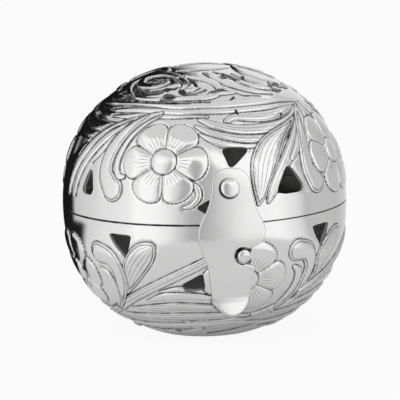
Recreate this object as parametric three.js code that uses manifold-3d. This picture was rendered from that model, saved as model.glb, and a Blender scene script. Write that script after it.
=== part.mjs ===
// Pierced and chased silver ball box with a hinged lid and a swivel hook.
// Millimetres, +Z up. The origin is on the flat of the foot, under the middle of the ball.
// The hook is at the front, at -Y, and the hinge is at the back, at +Y.

import * as THREE from 'three';
import { mergeVertices } from 'three/addons/utils/BufferGeometryUtils.js';
import Module from 'manifold-3d';

const wasm = await Module();
wasm.setup();

// Ball. It is a little fuller than an ellipsoid: the exponent of a true ellipsoid is 2.
const ballRadius = 35;
const poleRadius = 33.5;
const ballFullness = 2.15;
const footDepth = 32;
const wall = 0.8;
const seamGap = 0.3;
const fitGap = 0.3;
const seatGap = 0.3;

// Bezel ring inside the base
const bezelThickness = 0.8;
const bezelGap = 0.3;
const bezelAboveSeam = 1.2;
const bezelBelowSeam = 3.5;

// Hinge
const hingeAxisOut = 1.1;
const knuckleRadius = 1.2;
const knuckleLength = 2.6;
const knuckleGap = 0.3;
const knuckleCount = 5;
const pinRadius = 0.55;
const pinClearance = 0.1;
const pinHeadRadius = 0.95;
const pinHeadLength = 0.45;
const bearerOut = 0.85;
const bearerHeight = 4;

// Hook. Heights are measured from the seam.
const rivetHeight = 9;
const hookStandOff = 1.2;
const hookThickness = 0.9;
const hookTop = 13.5;
const hookTip = -22.1;
const hookOffset = 0.4;
const hookLean = 1.3;
const straightFrom = -8;
const flareFrom = -17.3;
const flareTurn = 34;
const flareBend = 3;
const hookWidestHeight = -2.5;
const hookHalfWidth = 8.2;
const hookNeckHeight = 7.4;
const hookNeckHalfWidth = 4.95;
const hookLowHeight = -15.4;
const hookLowHalfWidth = 4.95;

// Rivet, washer and rove
const rivetShankRadius = 0.9;
const rivetHeadRadius = 2.28;
const rivetHeadHeight = 1;
const rivetBurrRadius = 1.3;
const rivetBurrHeight = 0.5;
const washerRadius = 2.2;
const roveRadius = 2.2;
const roveThickness = 0.5;

// Catch stud
const studAcross = 2.6;
const studHeight = -7.15;
const studNeckRadius = 0.7;
const studHeadRadius = 1.6;
const studHeadHeight = 0.9;
const studHeadGap = 1.05;
const studFlangeRadius = 1.35;
const studFlangeHeight = 0.4;
const notchRadius = 2.05;
const notchClearance = 0.5;
const notchLowerSlope = 24;

// Piercings and embossing. The pattern is not quite centred on the hook.
const patternTurn = 0.85;
const cornerRounding = 0.2;
const flowerRadius = 10.8;
const flowerPetals = 6;
const petalRise = 0.6;
const flowerEyeRadius = 3.1;
const flowerEyeRise = 0.8;
const petalNotch = 0.13;
const leafRise = 0.5;
const fullHalfWidth = 1.3;
const flatTopFrom = 1.5;
const rooted = 0.3;

// Fineness of the facets
const aroundBall = 36;
const upBall = 8;
const formSpacing = 7.5;
const aroundSmall = 16;
const aroundBoss = 10;
const overlap = 0.01;
const radians = Math.PI / 180;

const hinge = {
  y: ballRadius + hingeAxisOut,
  length: knuckleCount * knuckleLength + (knuckleCount - 1) * knuckleGap,
};
const hook = {
  inner: ballRadius + hookStandOff,
  outer: ballRadius + hookStandOff + hookThickness,
};
const rivetLatitude = Math.asin(rivetHeight / hook.outer) / radians;

// How far the flat facets of the shells lie inside the true ball, which pieces inside must clear
const facetSag = ballRadius * (1 - Math.cos(Math.PI / aroundBall))
  + poleRadius * (1 - Math.cos(Math.PI / (4 * upBall)));

// Materials
function silver(color, roughness) {
  return new THREE.MeshStandardMaterial({ color, roughness, metalness: 1 });
}
const polished = () => silver(0xe6e6e4, 0.12);
const satin = () => silver(0xb9b8b4, 0.35);

// Solids
function solidOf(geometry) {
  const bare = geometry.index ? geometry.toNonIndexed() : geometry.clone();
  bare.deleteAttribute('normal');
  bare.deleteAttribute('uv');
  const merged = mergeVertices(bare, 1e-4);
  const vertProperties = new Float32Array(merged.attributes.position.array);
  const index = merged.index.array;
  const triangles = [];
  let volume = 0;
  const corner = [0, 1, 2].map(() => new THREE.Vector3());
  for (let i = 0; i < index.length; i += 3) {
    const [a, b, c] = index.slice(i, i + 3);
    if (a === b || b === c || c === a) continue;
    triangles.push(a, b, c);
    corner.forEach((point, k) => point.fromArray(vertProperties, 3 * index[i + k]));
    volume += corner[0].dot(corner[1].clone().cross(corner[2]));
  }
  if (volume < 0) triangles.reverse();
  const mesh = new wasm.Mesh({ numProp: 3, vertProperties, triVerts: new Uint32Array(triangles) });
  return new wasm.Manifold(mesh);
}

function geometryOf(solid) {
  const mesh = solid.getMesh();
  const geometry = new THREE.BufferGeometry();
  geometry.setAttribute('position', new THREE.BufferAttribute(mesh.vertProperties, 3));
  geometry.setIndex(new THREE.BufferAttribute(mesh.triVerts, 1));
  geometry.computeVertexNormals();
  return geometry;
}

function meshOf(name, geometry, material) {
  const mesh = new THREE.Mesh(geometry, material);
  mesh.name = name;
  return mesh;
}

// A profile of [radius, height] pairs turned about the Z axis
function turned(profile, around = aroundSmall) {
  const points = profile.map(([radius, height]) => new THREE.Vector2(radius, height));
  const geometry = new THREE.LatheGeometry(points, around);
  geometry.rotateX(Math.PI / 2);
  return geometry;
}

function ring(inner, outer, low, high, around = aroundSmall) {
  return turned([[inner, low], [outer, low], [outer, high], [inner, high], [inner, low]], around);
}

// The ball's own surface. Longitude 0 is the front and grows to +X.
function surfaceRadius(latitude) {
  const level = Math.abs(Math.cos(latitude * radians)) / ballRadius;
  const rise = Math.abs(Math.sin(latitude * radians)) / poleRadius;
  return (level ** ballFullness + rise ** ballFullness) ** (-1 / ballFullness);
}

function outward(longitude, latitude) {
  return new THREE.Vector3(
    Math.cos(latitude * radians) * Math.sin(longitude * radians),
    -Math.cos(latitude * radians) * Math.cos(longitude * radians),
    Math.sin(latitude * radians),
  );
}

// East, north and outward directions at a place on the ball
function ballFrame(longitude, latitude) {
  const out = outward(longitude, latitude);
  const east = new THREE.Vector3(Math.cos(longitude * radians), Math.sin(longitude * radians), 0);
  const north = out.clone().cross(east);
  return new THREE.Matrix4().makeBasis(east, north, out);
}

// The point a distance away along the ball, at a bearing counted from north towards east
function stepOver(longitude, latitude, distance, bearing) {
  const arc = distance / surfaceRadius(latitude);
  const frame = ballFrame(longitude, latitude);
  const point = new THREE.Vector3(
    Math.sin(arc) * Math.sin(bearing * radians),
    Math.sin(arc) * Math.cos(bearing * radians),
    Math.cos(arc),
  ).applyMatrix4(frame);
  return [Math.atan2(point.x, -point.y) / radians, Math.asin(point.z) / radians];
}

// Lays a flat form over the ball: its X and Y run along the surface and its Z becomes height
function laidOver(geometry, longitude, latitude) {
  const position = geometry.attributes.position;
  for (let i = 0; i < position.count; i += 1) {
    const across = position.getX(i);
    const along = position.getY(i);
    const bearing = Math.atan2(across, along) / radians;
    const [lon, lat] = stepOver(longitude, latitude, Math.hypot(across, along), bearing);
    const point = outward(lon, lat).multiplyScalar(surfaceRadius(lat) + position.getZ(i));
    position.setXYZ(i, point.x, point.y, point.z);
  }
  return geometry;
}

// Half of the ball's profile between two depths from the seam, for one wall offset
function ballProfile(inset, from, to, steps) {
  const level = ballRadius - inset;
  const pole = poleRadius - inset;
  const angleAt = (depth) => Math.asin(Math.min(1, depth / pole) ** (ballFullness / 2));
  const start = angleAt(from);
  const end = angleAt(to);
  const points = [];
  for (let i = 0; i <= steps; i += 1) {
    const angle = start + ((end - start) * i) / steps;
    const radius = level * Math.max(0, Math.cos(angle)) ** (2 / ballFullness);
    points.push([radius < overlap ? 0 : radius, pole * Math.sin(angle) ** (2 / ballFullness)]);
  }
  return points;
}

function halfBall(outerDepth, innerDepth) {
  const outer = ballProfile(0, seamGap / 2, outerDepth, upBall);
  const inner = ballProfile(wall, seamGap / 2, innerDepth, upBall);
  const outerEnd = outer[outer.length - 1];
  const innerEnd = inner[inner.length - 1];
  const foot = outerEnd[0] > 0 ? [[0, outerEnd[1]]] : [];
  const floor = innerEnd[0] > 0 ? [[0, innerEnd[1]]] : [];
  return turned([...foot, ...outer.reverse(), ...inner, ...floor], aroundBall);
}

// A rounded opening through the wall, with its corners given as longitude and latitude
function opening(corners) {
  const middle = corners.reduce((sum, [lon, lat]) => sum.add(outward(lon, lat)), new THREE.Vector3());
  middle.normalize();
  const longitude = Math.atan2(middle.x, -middle.y) / radians;
  const latitude = Math.asin(middle.z) / radians;
  const frame = ballFrame(longitude, latitude);
  const toFlat = frame.clone().invert();
  const flat = corners.map(([lon, lat]) => {
    const point = outward(lon, lat).multiplyScalar(surfaceRadius(lat)).applyMatrix4(toFlat);
    return new THREE.Vector2(point.x, point.y);
  });
  const shape = new THREE.Shape();
  flat.forEach((corner, i) => {
    const before = flat[(i + flat.length - 1) % flat.length];
    const after = flat[(i + 1) % flat.length];
    const enter = corner.clone().lerp(before, cornerRounding);
    const leave = corner.clone().lerp(after, cornerRounding);
    if (i === 0) shape.moveTo(enter.x, enter.y);
    else shape.lineTo(enter.x, enter.y);
    shape.quadraticCurveTo(corner.x, corner.y, leave.x, leave.y);
  });
  shape.closePath();
  const reach = 4 * wall;
  const options = { depth: 2 * reach, bevelEnabled: false, curveSegments: 1 };
  const geometry = new THREE.ExtrudeGeometry(shape, options);
  geometry.translate(0, 0, surfaceRadius(latitude) - wall / 2 - reach);
  return solidOf(geometry.applyMatrix4(frame));
}

// The point at a height over the ball's surface, in a direction from its middle
function onBall(direction, height) {
  const out = direction.clone().normalize();
  return out.multiplyScalar(surfaceRadius(Math.asin(out.z) / radians) + height);
}

// A raised leaf, stem or scroll along a line of [longitude, latitude, half width] points
function raisedForm(line, turn) {
  const places = line.map(([lon, lat]) => outward(lon + turn, lat).multiplyScalar(ballRadius));
  const path = new THREE.CatmullRomCurve3(places);
  const pieces = Math.max(line.length, Math.round(path.getLength() / formSpacing));
  const sections = [];
  for (let i = 0; i <= pieces; i += 1) {
    const share = (i / pieces) * (line.length - 1);
    const knot = Math.min(Math.floor(share), line.length - 2);
    const half = THREE.MathUtils.lerp(line[knot][2], line[knot + 1][2], share - knot);
    const place = path.getPoint(i / pieces);
    const ahead = path.getTangent(i / pieces);
    sections.push({ place, ahead, half });
  }
  const [first] = sections;
  const last = sections[pieces];
  sections.unshift({ place: first.place.clone().addScaledVector(first.ahead, -first.half), end: true });
  sections.push({ place: last.place.clone().addScaledVector(last.ahead, last.half), end: true });

  const wide = Math.max(...line.map(([, , half]) => half)) > flatTopFrom;
  const top = wide ? [[-0.55, 1], [0.55, 1]] : [[0, 1]];
  const corners = [[-1.1, -rooted], ...top, [1.1, -rooted], [0, -1.4 * rooted]];
  const geometry = new THREE.SphereGeometry(1, corners.length, sections.length - 1);
  const position = geometry.attributes.position;
  sections.forEach(({ place, ahead, half, end }, row) => {
    for (let column = 0; column <= corners.length; column += 1) {
      const [across, level] = corners[column % corners.length];
      const rise = leafRise * Math.min(1, half / fullHalfWidth);
      const side = end ? place : ahead.clone().cross(place).normalize().multiplyScalar(across * half);
      const point = end ? onBall(place, -rooted) : onBall(side.add(place), level > 0 ? rise : level);
      position.setXYZ(row * (corners.length + 1) + column, point.x, point.y, point.z);
    }
  });
  return solidOf(geometry);
}

// The round boss at the end of a scroll
function boss(longitude, latitude, radius) {
  const profile = [[0, leafRise], [0.7 * radius, 0.7 * leafRise], [1.1 * radius, -rooted], [0, -1.2 * rooted]];
  return solidOf(laidOver(turned(profile, aroundBoss), longitude, latitude));
}

// A domed eye and a ring of petals, raised in one piece
function flower(longitude, latitude) {
  const profile = [
    [0, flowerEyeRise],
    [flowerEyeRadius * 0.7, flowerEyeRise * 0.8],
    [flowerEyeRadius, petalRise * 0.2],
    [flowerRadius * 0.72, petalRise],
    [flowerRadius, -rooted],
    [0, -1.2 * rooted],
  ];
  const geometry = turned(profile, 3 * flowerPetals);
  const position = geometry.attributes.position;
  for (let i = 0; i < position.count; i += 1) {
    const [x, y, z] = [position.getX(i), position.getY(i), position.getZ(i)];
    const distance = Math.hypot(x, y);
    const petal = 0.5 - 0.5 * Math.cos(flowerPetals * Math.atan2(y, x));
    const isPetal = distance > flowerEyeRadius + overlap;
    const spread = isPetal ? 1 - petalNotch * (1 - petal) : 1;
    const height = isPetal && z > 0 ? z * (0.35 + 0.65 * petal) : z;
    position.setXYZ(i, x * spread, y * spread, height);
  }
  return solidOf(laidOver(geometry, longitude, latitude));
}

// The pattern repeats round the ball: some of it every quarter turn, the rest every half turn
const quarters = [0, 90, 180, 270].map((turn) => turn + patternTurn);
const halves = [0, 180].map((turn) => turn + patternTurn);

const lidFan = [
  [[57, 46.5, 0.5], [46, 44.6, 1.1], [35, 43.2, 1.5], [24, 42.8, 1.6], [14, 43.4, 1.4], [5, 43, 1]],
  [[54, 45, 0.5], [44, 40.5, 1.2], [32, 37.4, 1.7], [20, 36.8, 1.8], [8, 37.4, 1.6], [-8, 41, 0.9]],
  [[46, 40.5, 0.5], [34, 35, 1.3], [22, 32.6, 1.5], [10, 32.9, 1.4], [0, 35, 1.2], [-9, 38.6, 0.6]],
];
const lidForms = [
  [[-90, 47.6, 0.9], [-70, 49.4, 1.4], [-28, 50, 1.8], [0, 50, 1.8], [25, 49.6, 1.6], [58, 46, 0.5]],
  [[-36, 46, 0.4], [-48, 42.5, 0.9], [-60, 38, 1.2], [-70, 31, 1.35], [-77, 22, 1.4], [-81, 8.4, 0.6]],
  [[-38, 45, 0.4], [-50, 40.5, 0.8], [-60, 35, 1.1], [-67, 28, 1.25], [-72.5, 20, 1.25], [-75.5, 8.6, 0.5]],
  [[-34, 46.5, 0.4], [-42, 44, 1], [-49, 39, 1.5], [-54, 32, 1.9], [-56.3, 24.5, 2.1], [-55, 17, 2.3]],
  [[46, 40, 0.5], [33.5, 31.5, 1.4], [24.5, 25, 1.8], [16.5, 18, 1.8], [11.5, 11.5, 1.3], [9.8, 7.2, 0.5]],
  [[49, 41.5, 0.4], [38, 33, 1.2], [30, 26, 1.6], [23, 18.5, 1.7], [17.6, 11.5, 1.3], [15.4, 7.6, 0.5]],
  [[55.5, 45, 0.4], [48, 40, 1.1], [42.5, 32.5, 1.6], [39.4, 25, 1.9], [38.7, 17, 2.3]],
  [[59, 45.5, 0.4], [58, 41.5, 1.5], [57, 37, 2], [57, 33, 1.4]],
  [[-80, 54, 0.5], [-44, 53.6, 0.8], [-22, 55, 1], [-6, 55.6, 1.1], [4, 59.6, 1.1], [0, 66.5, 1.1],
    [-16, 70.6, 1], [-34, 72.5, 0.6]],
  [[-27, 61.5, 0.6], [-27, 66, 1.1], [-38, 70.4, 1.2], [-58, 72.6, 1.2], [-78, 70.4, 1.2],
    [-84, 65, 1.3], [-72, 61.4, 1.3], [-56, 61.6, 1.2], [-47, 64.6, 0.9]],
  [[-6, 76, 0.5], [6, 69, 0.9], [16, 62.5, 1], [30, 57, 0.9], [44, 53.5, 0.5]],
  [[36, 72, 0.5], [40, 66.5, 1.4], [48, 61, 1.5], [54, 57.6, 0.6]],
  [[84, 54.5, 0.6], [72, 54.5, 1], [58, 60.6, 1.2], [52, 67.6, 1.2], [64, 74, 1.1], [96, 76, 0.8]],
];
const lidBosses = [[-51.3, 12.8, 3.3], [41.3, 12.8, 3.3]];
const lidFlowers = [[-28, 25], [61, 22.5]];
const lidQuarterOpenings = [[[-3, 30.5], [11, 29.6], [0.5, 21.3]]];
const lidOpenings = [
  [[-65.5, 21.5], [-61, 9.5], [-70.5, 9.5]],
  [[27, 22.6], [18, 10], [34.6, 10]],
  [[-72, 59.5], [-56, 55.2], [-41, 59.5], [-30, 63], [-42, 60.8], [-56, 57.8]],
  [[-40, 57.6], [-31, 57.6], [-31, 54.2], [-40, 54.2]],
  [[-30, 71.4], [-18, 68.6], [-13, 62.5], [-16, 62.5], [-22, 67.2]],
  [[57, 58.5], [68, 58], [63, 54.5]],
];
const openingBehindHook = [[-14.5, 7], [-8, 10.4], [-7.6, 2.6]];

const baseForms = [
  [[-84, -46, 0.8], [-62, -40.4, 1.3], [-37, -28, 1.3], [-24, -21.6, 1.3], [-12, -15.6, 1.2], [-3, -11, 0.8]],
  [[-62, -44.5, 0.4], [-44, -44.5, 1.3], [-24, -43.6, 1.6], [-4, -43, 1.4], [12, -44, 0.6]],
  [[-52, -39.5, 0.4], [-38, -38.4, 1.3], [-24, -37, 1.5], [-8, -37.6, 1.2], [0, -40, 0.5]],
  [[-51, -30.5, 0.5], [-46.4, -23.5, 2], [-41.5, -16.5, 3.1], [-37, -11.6, 3], [-35, -9.6, 2]],
  [[-63, -41, 0.5], [-55.5, -34, 1.2], [-50.6, -26, 1.6], [-49.8, -19, 1.8], [-53, -13.2, 2.1]],
];
const baseBosses = [[-57.5, -11.6, 2.8]];
const baseFlowers = [[12, -26]];
const baseOpenings = [
  [[-53, -4.6], [-41.4, -4.6], [-42.6, -9], [-45.4, -15], [-47, -13], [-50.5, -9]],
  [[-22, -25.3], [-12, -19.6], [-11, -27.6], [-20, -28.2]],
  [[-42, -53], [-29, -55.6], [-30, -57.4], [-41, -55.2]],
];

function embossed(shell, turns, { forms = [], bosses = [], flowers = [] }) {
  let solid = shell;
  for (const turn of turns) {
    for (const line of forms) solid = solid.add(raisedForm(line, turn));
    for (const [lon, lat, radius] of bosses) solid = solid.add(boss(lon + turn, lat, radius));
    for (const [lon, lat] of flowers) solid = solid.add(flower(lon + turn, lat));
  }
  return solid;
}

function pierced(shell, turns, openings) {
  let solid = shell;
  for (const turn of turns) {
    for (const corners of openings) {
      solid = solid.subtract(opening(corners.map(([lon, lat]) => [lon + turn, lat])));
    }
  }
  return solid;
}

// A radial drilling through the wall
function drilling(longitude, latitude, radius) {
  const reach = 4 * wall;
  const geometry = ring(0, radius, surfaceRadius(latitude) - reach, surfaceRadius(latitude) + reach);
  return solidOf(geometry.applyMatrix4(ballFrame(longitude, latitude)));
}

// The groove along the hinge that the knuckles turn in
function knuckleGroove() {
  const length = hinge.length + 2 * (pinHeadLength + knuckleGap);
  const geometry = new THREE.CylinderGeometry(
    knuckleRadius + fitGap,
    knuckleRadius + fitGap,
    length,
    aroundSmall,
  );
  geometry.rotateZ(Math.PI / 2);
  geometry.translate(0, hinge.y, 0);
  return solidOf(geometry);
}

const stud = (() => {
  const radius = hook.outer + studHeadGap;
  const forward = Math.sqrt(radius ** 2 - studAcross ** 2 - studHeight ** 2);
  return {
    longitude: Math.atan2(studAcross, forward) / radians,
    latitude: Math.asin(studHeight / radius) / radians,
  };
})();

function baseShell() {
  const plain = solidOf(halfBall(footDepth, footDepth - wall).rotateX(Math.PI));
  const pattern = { forms: baseForms, bosses: baseBosses, flowers: baseFlowers };
  return pierced(embossed(plain, quarters, pattern), quarters, baseOpenings)
    .subtract(drilling(stud.longitude, stud.latitude, studNeckRadius + fitGap))
    .subtract(knuckleGroove());
}

function lidShell() {
  const plain = solidOf(halfBall(poleRadius, poleRadius - wall));
  const fanned = embossed(plain, quarters, { forms: lidFan });
  const pattern = { forms: lidForms, bosses: lidBosses, flowers: lidFlowers };
  const openwork = pierced(embossed(fanned, halves, pattern), halves, lidOpenings);
  const quartered = pierced(openwork, quarters, lidQuarterOpenings);
  return pierced(quartered, [patternTurn], [openingBehindHook])
    .subtract(drilling(0, rivetLatitude, rivetShankRadius + fitGap))
    .subtract(knuckleGroove());
}

function bezelRing() {
  const gap = wall + bezelGap;
  const [[top], [bottom]] = ballProfile(gap, seamGap / 2, bezelBelowSeam, 1);
  const inner = bottom - bezelThickness;
  const profile = [
    [inner, -bezelBelowSeam],
    [bottom, -bezelBelowSeam],
    [top, -seamGap / 2],
    [top, bezelAboveSeam],
    [inner, bezelAboveSeam],
    [inner, -bezelBelowSeam],
  ];
  return turned(profile, aroundBall);
}

// The strips at the back that carry the knuckles. Opened, the lid's strip meets the base's.
function hingeBearer(side) {
  const inner = ballProfile(-seatGap, seamGap / 2 + overlap, bearerHeight, 5);
  const out = hinge.y + bearerOut;
  const low = inner[0][1];
  const profile = [...inner, [out, bearerHeight], [out, low], inner[0]];
  const revolved = turned(profile, aroundBall);
  if (side < 0) revolved.rotateX(Math.PI);
  const block = new THREE.BoxGeometry(hinge.length, 2 * bearerHeight, 4 * bearerHeight);
  block.translate(0, hinge.y, 0);
  return solidOf(revolved).intersect(solidOf(block)).subtract(knuckleGroove());
}

function knuckle(place) {
  const bore = pinRadius + pinClearance;
  const geometry = ring(bore, knuckleRadius, -knuckleLength / 2, knuckleLength / 2);
  geometry.rotateY(Math.PI / 2);
  const pitch = knuckleLength + knuckleGap;
  geometry.translate((place - (knuckleCount - 1) / 2) * pitch, hinge.y, 0);
  return geometry;
}

function hingePin() {
  const reach = hinge.length / 2 + pinClearance;
  const end = reach + pinHeadLength;
  const geometry = turned([
    [0, -end],
    [pinHeadRadius * 0.7, -end],
    [pinHeadRadius, -reach - pinHeadLength / 2],
    [pinHeadRadius, -reach],
    [pinRadius, -reach],
    [pinRadius, reach],
    [pinHeadRadius, reach],
    [pinHeadRadius, reach + pinHeadLength / 2],
    [pinHeadRadius * 0.7, end],
    [0, end],
  ]);
  geometry.rotateY(Math.PI / 2);
  geometry.translate(0, hinge.y, 0);
  return geometry;
}

// Points of a dome, from its rim to the axis
function domeProfile(radius, from, height, steps = 4) {
  const points = [];
  for (let i = 0; i <= steps; i += 1) {
    const angle = (Math.PI / 2) * (i / steps);
    points.push([i === steps ? 0 : radius * Math.cos(angle), from + height * Math.sin(angle)]);
  }
  return points;
}

function catchStud() {
  const shell = surfaceRadius(stud.latitude);
  const inside = shell - wall - facetSag - fitGap;
  const outside = shell + seatGap;
  const head = hook.outer + studHeadGap;
  const burr = studNeckRadius * 1.5;
  const geometry = turned([
    [0, inside - burr / 2],
    [burr * 0.7, inside - burr / 2],
    [burr, inside - burr / 4],
    [burr, inside],
    [studNeckRadius, inside],
    [studNeckRadius, outside],
    [studFlangeRadius, outside],
    [studFlangeRadius, outside + studFlangeHeight * 0.6],
    [studNeckRadius, outside + studFlangeHeight],
    [studNeckRadius, head],
    [studHeadRadius, head],
    ...domeProfile(studHeadRadius, head + studHeadHeight * 0.25, studHeadHeight * 0.75),
  ]);
  return geometry.applyMatrix4(ballFrame(stud.longitude, stud.latitude));
}

function latchRivet() {
  const head = hook.outer + fitGap / 2;
  const inside = surfaceRadius(rivetLatitude) - wall - facetSag - 1.5 * seatGap - roveThickness;
  const geometry = turned([
    [0, inside - rivetBurrHeight],
    [rivetBurrRadius * 0.6, inside - rivetBurrHeight],
    [rivetBurrRadius, inside - rivetBurrHeight / 2],
    [rivetBurrRadius, inside],
    [rivetShankRadius, inside],
    [rivetShankRadius, head],
    [rivetHeadRadius, head],
    ...domeProfile(rivetHeadRadius, head + rivetHeadHeight * 0.2, rivetHeadHeight * 0.8),
  ]);
  return geometry.applyMatrix4(ballFrame(0, rivetLatitude));
}

function latchWasher() {
  const shell = surfaceRadius(rivetLatitude);
  const geometry = ring(
    rivetShankRadius + fitGap,
    washerRadius,
    shell + seatGap / 2,
    hook.inner - seatGap,
  );
  return geometry.applyMatrix4(ballFrame(0, rivetLatitude));
}

function rivetRove() {
  const top = surfaceRadius(rivetLatitude) - wall - facetSag - seatGap;
  const geometry = ring(rivetShankRadius + fitGap, roveRadius, top - roveThickness, top);
  return geometry.applyMatrix4(ballFrame(0, rivetLatitude));
}

// One face of the hook in side view: over the ball, straight down, then bent out to the tip
function hookSide(radius) {
  const points = [];
  const turn = straightFrom * radians;
  const top = Math.asin((hookTop + hookThickness) / hook.inner);
  const arcSteps = 14;
  for (let i = 0; i <= arcSteps; i += 1) {
    const angle = top + ((turn - top) * i) / arcSteps;
    points.push([radius * Math.cos(angle), radius * Math.sin(angle)]);
  }
  const bend = (flareFrom - hook.outer * Math.sin(turn)) / Math.cos(turn);
  const start = points[points.length - 1];
  const down = [Math.sin(turn), -Math.cos(turn)];
  const flareRadius = flareBend + hookThickness;
  const along = [start[0] - bend * down[0], start[1] - bend * down[1]];
  points.push(along);
  const flareSteps = 5;
  const inwards = [-Math.cos(turn), -Math.sin(turn)];
  const fromInner = radius - hook.inner;
  const ownRadius = flareRadius - fromInner;
  for (let i = 1; i <= flareSteps; i += 1) {
    const angle = (flareTurn * radians * i) / flareSteps;
    const ahead = ownRadius * Math.sin(angle);
    const aside = ownRadius * (1 - Math.cos(angle));
    points.push([
      along[0] + ahead * down[0] - aside * inwards[0],
      along[1] + ahead * down[1] - aside * inwards[1],
    ]);
  }
  const beyond = (flareFrom - hookTip) * 1.5;
  const final = turn + flareTurn * radians;
  const end = points[points.length - 1];
  points.push([end[0] + beyond * Math.sin(final), end[1] - beyond * Math.cos(final)]);
  return points;
}

function hookOutline() {
  const sides = [
    [hookNeckHalfWidth * 0.58, hookTop - 0.6],
    [hookNeckHalfWidth * 0.87, hookTop - 2.1],
    [hookNeckHalfWidth, hookNeckHeight],
    [hookHalfWidth * 0.76, hookNeckHeight - 4],
    [hookHalfWidth * 0.96, hookWidestHeight + 2.4],
    [hookHalfWidth, hookWidestHeight],
    [hookHalfWidth * 0.91, hookWidestHeight - 3.2],
    [hookHalfWidth * 0.69, (hookWidestHeight + hookLowHeight) / 2 - 1.6],
    [hookLowHalfWidth, hookLowHeight],
    [hookLowHalfWidth * 0.87, hookTip + 3.6],
    [hookLowHalfWidth * 0.64, hookTip + 1.6],
    [hookLowHalfWidth * 0.32, hookTip + 0.35],
  ];
  const right = sides.map(([x, z]) => new THREE.Vector3(x, z, 0));
  const left = sides.map(([x, z]) => new THREE.Vector3(-x, z, 0)).reverse();
  const tip = new THREE.Vector3(0, hookTip, 0);
  const top = new THREE.Vector3(0, hookTop, 0);
  const curve = new THREE.CatmullRomCurve3([top, ...right, tip, ...left], true, 'centripetal');
  const outlineSteps = 56;
  const lean = hookLean * radians;
  const points = curve.getPoints(outlineSteps).slice(0, outlineSteps).map(({ x, y }) => {
    const across = x + hookOffset;
    const above = y - rivetHeight;
    return new THREE.Vector2(
      across * Math.cos(lean) + above * Math.sin(lean),
      above * Math.cos(lean) - across * Math.sin(lean) + rivetHeight,
    );
  });
  return new THREE.Shape(points);
}

// A flat outline in front view, given depth from the ball's middle to beyond the hook
function frontPrism(shape) {
  const depth = 1.5 * ballRadius;
  const geometry = new THREE.ExtrudeGeometry(shape, { depth, bevelEnabled: false, curveSegments: 10 });
  geometry.rotateX(Math.PI / 2);
  return solidOf(geometry);
}

// The notch: a round end about the stud, open to the right, wide enough for the neck to leave
function hookNotch() {
  const edge = 2 * hookHalfWidth;
  const swing = Math.hypot(studAcross, rivetHeight - studHeight);
  const pathHeight = (x) => rivetHeight - Math.sqrt(swing ** 2 - x ** 2);
  const room = studNeckRadius + notchClearance;
  const cornerX = studAcross + 0.8 * notchRadius;
  const mouthX = hookHalfWidth;
  const [upperEnd, lowerEnd] = [Math.PI * 0.42, Math.PI * 1.6];
  const shape = new THREE.Shape();
  shape.absarc(studAcross, studHeight, notchRadius, upperEnd, lowerEnd, false);
  const lowX = studAcross + notchRadius * Math.cos(lowerEnd);
  const lowHeight = (x) => studHeight - notchRadius - (x - lowX) * Math.tan(notchLowerSlope * radians);
  shape.lineTo(edge, lowHeight(edge));
  shape.lineTo(edge, pathHeight(mouthX) + room);
  shape.lineTo(mouthX, pathHeight(mouthX) + room);
  shape.lineTo(cornerX, pathHeight(cornerX) + room);
  shape.closePath();
  return frontPrism(shape);
}

function latchLever() {
  const outside = hookSide(hook.outer);
  const inside = hookSide(hook.inner).reverse();
  const side = new THREE.Shape([...outside, ...inside].map(([out, z]) => new THREE.Vector2(out, z)));
  const width = 3 * hookHalfWidth;
  const sheet = new THREE.ExtrudeGeometry(side, { depth: width, bevelEnabled: false });
  sheet.translate(0, 0, -width / 2);
  const frame = new THREE.Matrix4().makeBasis(
    new THREE.Vector3(0, -1, 0),
    new THREE.Vector3(0, 0, 1),
    new THREE.Vector3(-1, 0, 0),
  );
  const hole = ring(0, rivetShankRadius + pinClearance, 0, 2 * ballRadius);
  return solidOf(sheet.applyMatrix4(frame))
    .intersect(frontPrism(hookOutline()))
    .subtract(hookNotch())
    .subtract(solidOf(hole.applyMatrix4(ballFrame(0, rivetLatitude))));
}

// Assembly
const box = new THREE.Group();
box.position.z = footDepth;

const base = new THREE.Group();
base.add(meshOf('base_shell', geometryOf(baseShell()), polished()));
base.add(meshOf('bezel_ring', bezelRing(), satin()));
base.add(meshOf('base_hinge_bearer', geometryOf(hingeBearer(-1)), polished()));
base.add(meshOf('base_knuckle_left', knuckle(0), polished()));
base.add(meshOf('base_knuckle_middle', knuckle(2), polished()));
base.add(meshOf('base_knuckle_right', knuckle(4), polished()));
base.add(meshOf('hinge_pin', hingePin(), polished()));
base.add(meshOf('catch_stud', catchStud(), polished()));

const lid = new THREE.Group();
lid.add(meshOf('lid_shell', geometryOf(lidShell()), polished()));
lid.add(meshOf('lid_hinge_bearer', geometryOf(hingeBearer(1)), polished()));
lid.add(meshOf('lid_knuckle_left', knuckle(1), polished()));
lid.add(meshOf('lid_knuckle_right', knuckle(3), polished()));
lid.add(meshOf('latch_rivet', latchRivet(), polished()));
lid.add(meshOf('latch_washer', latchWasher(), polished()));
lid.add(meshOf('rivet_rove', rivetRove(), satin()));

const latch = new THREE.Group();
latch.add(meshOf('latch_lever', geometryOf(latchLever()), polished()));

box.add(base, lid, latch);

export default box;
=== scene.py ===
"""Silver ball box for scent: a pierced and chased ball with a hinged lid and a swivel hook."""

import math

import bmesh
import bpy
import numpy as np
from bpy.props import FloatProperty, FloatVectorProperty, IntProperty, PointerProperty
from mathutils import Matrix, Vector


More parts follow.
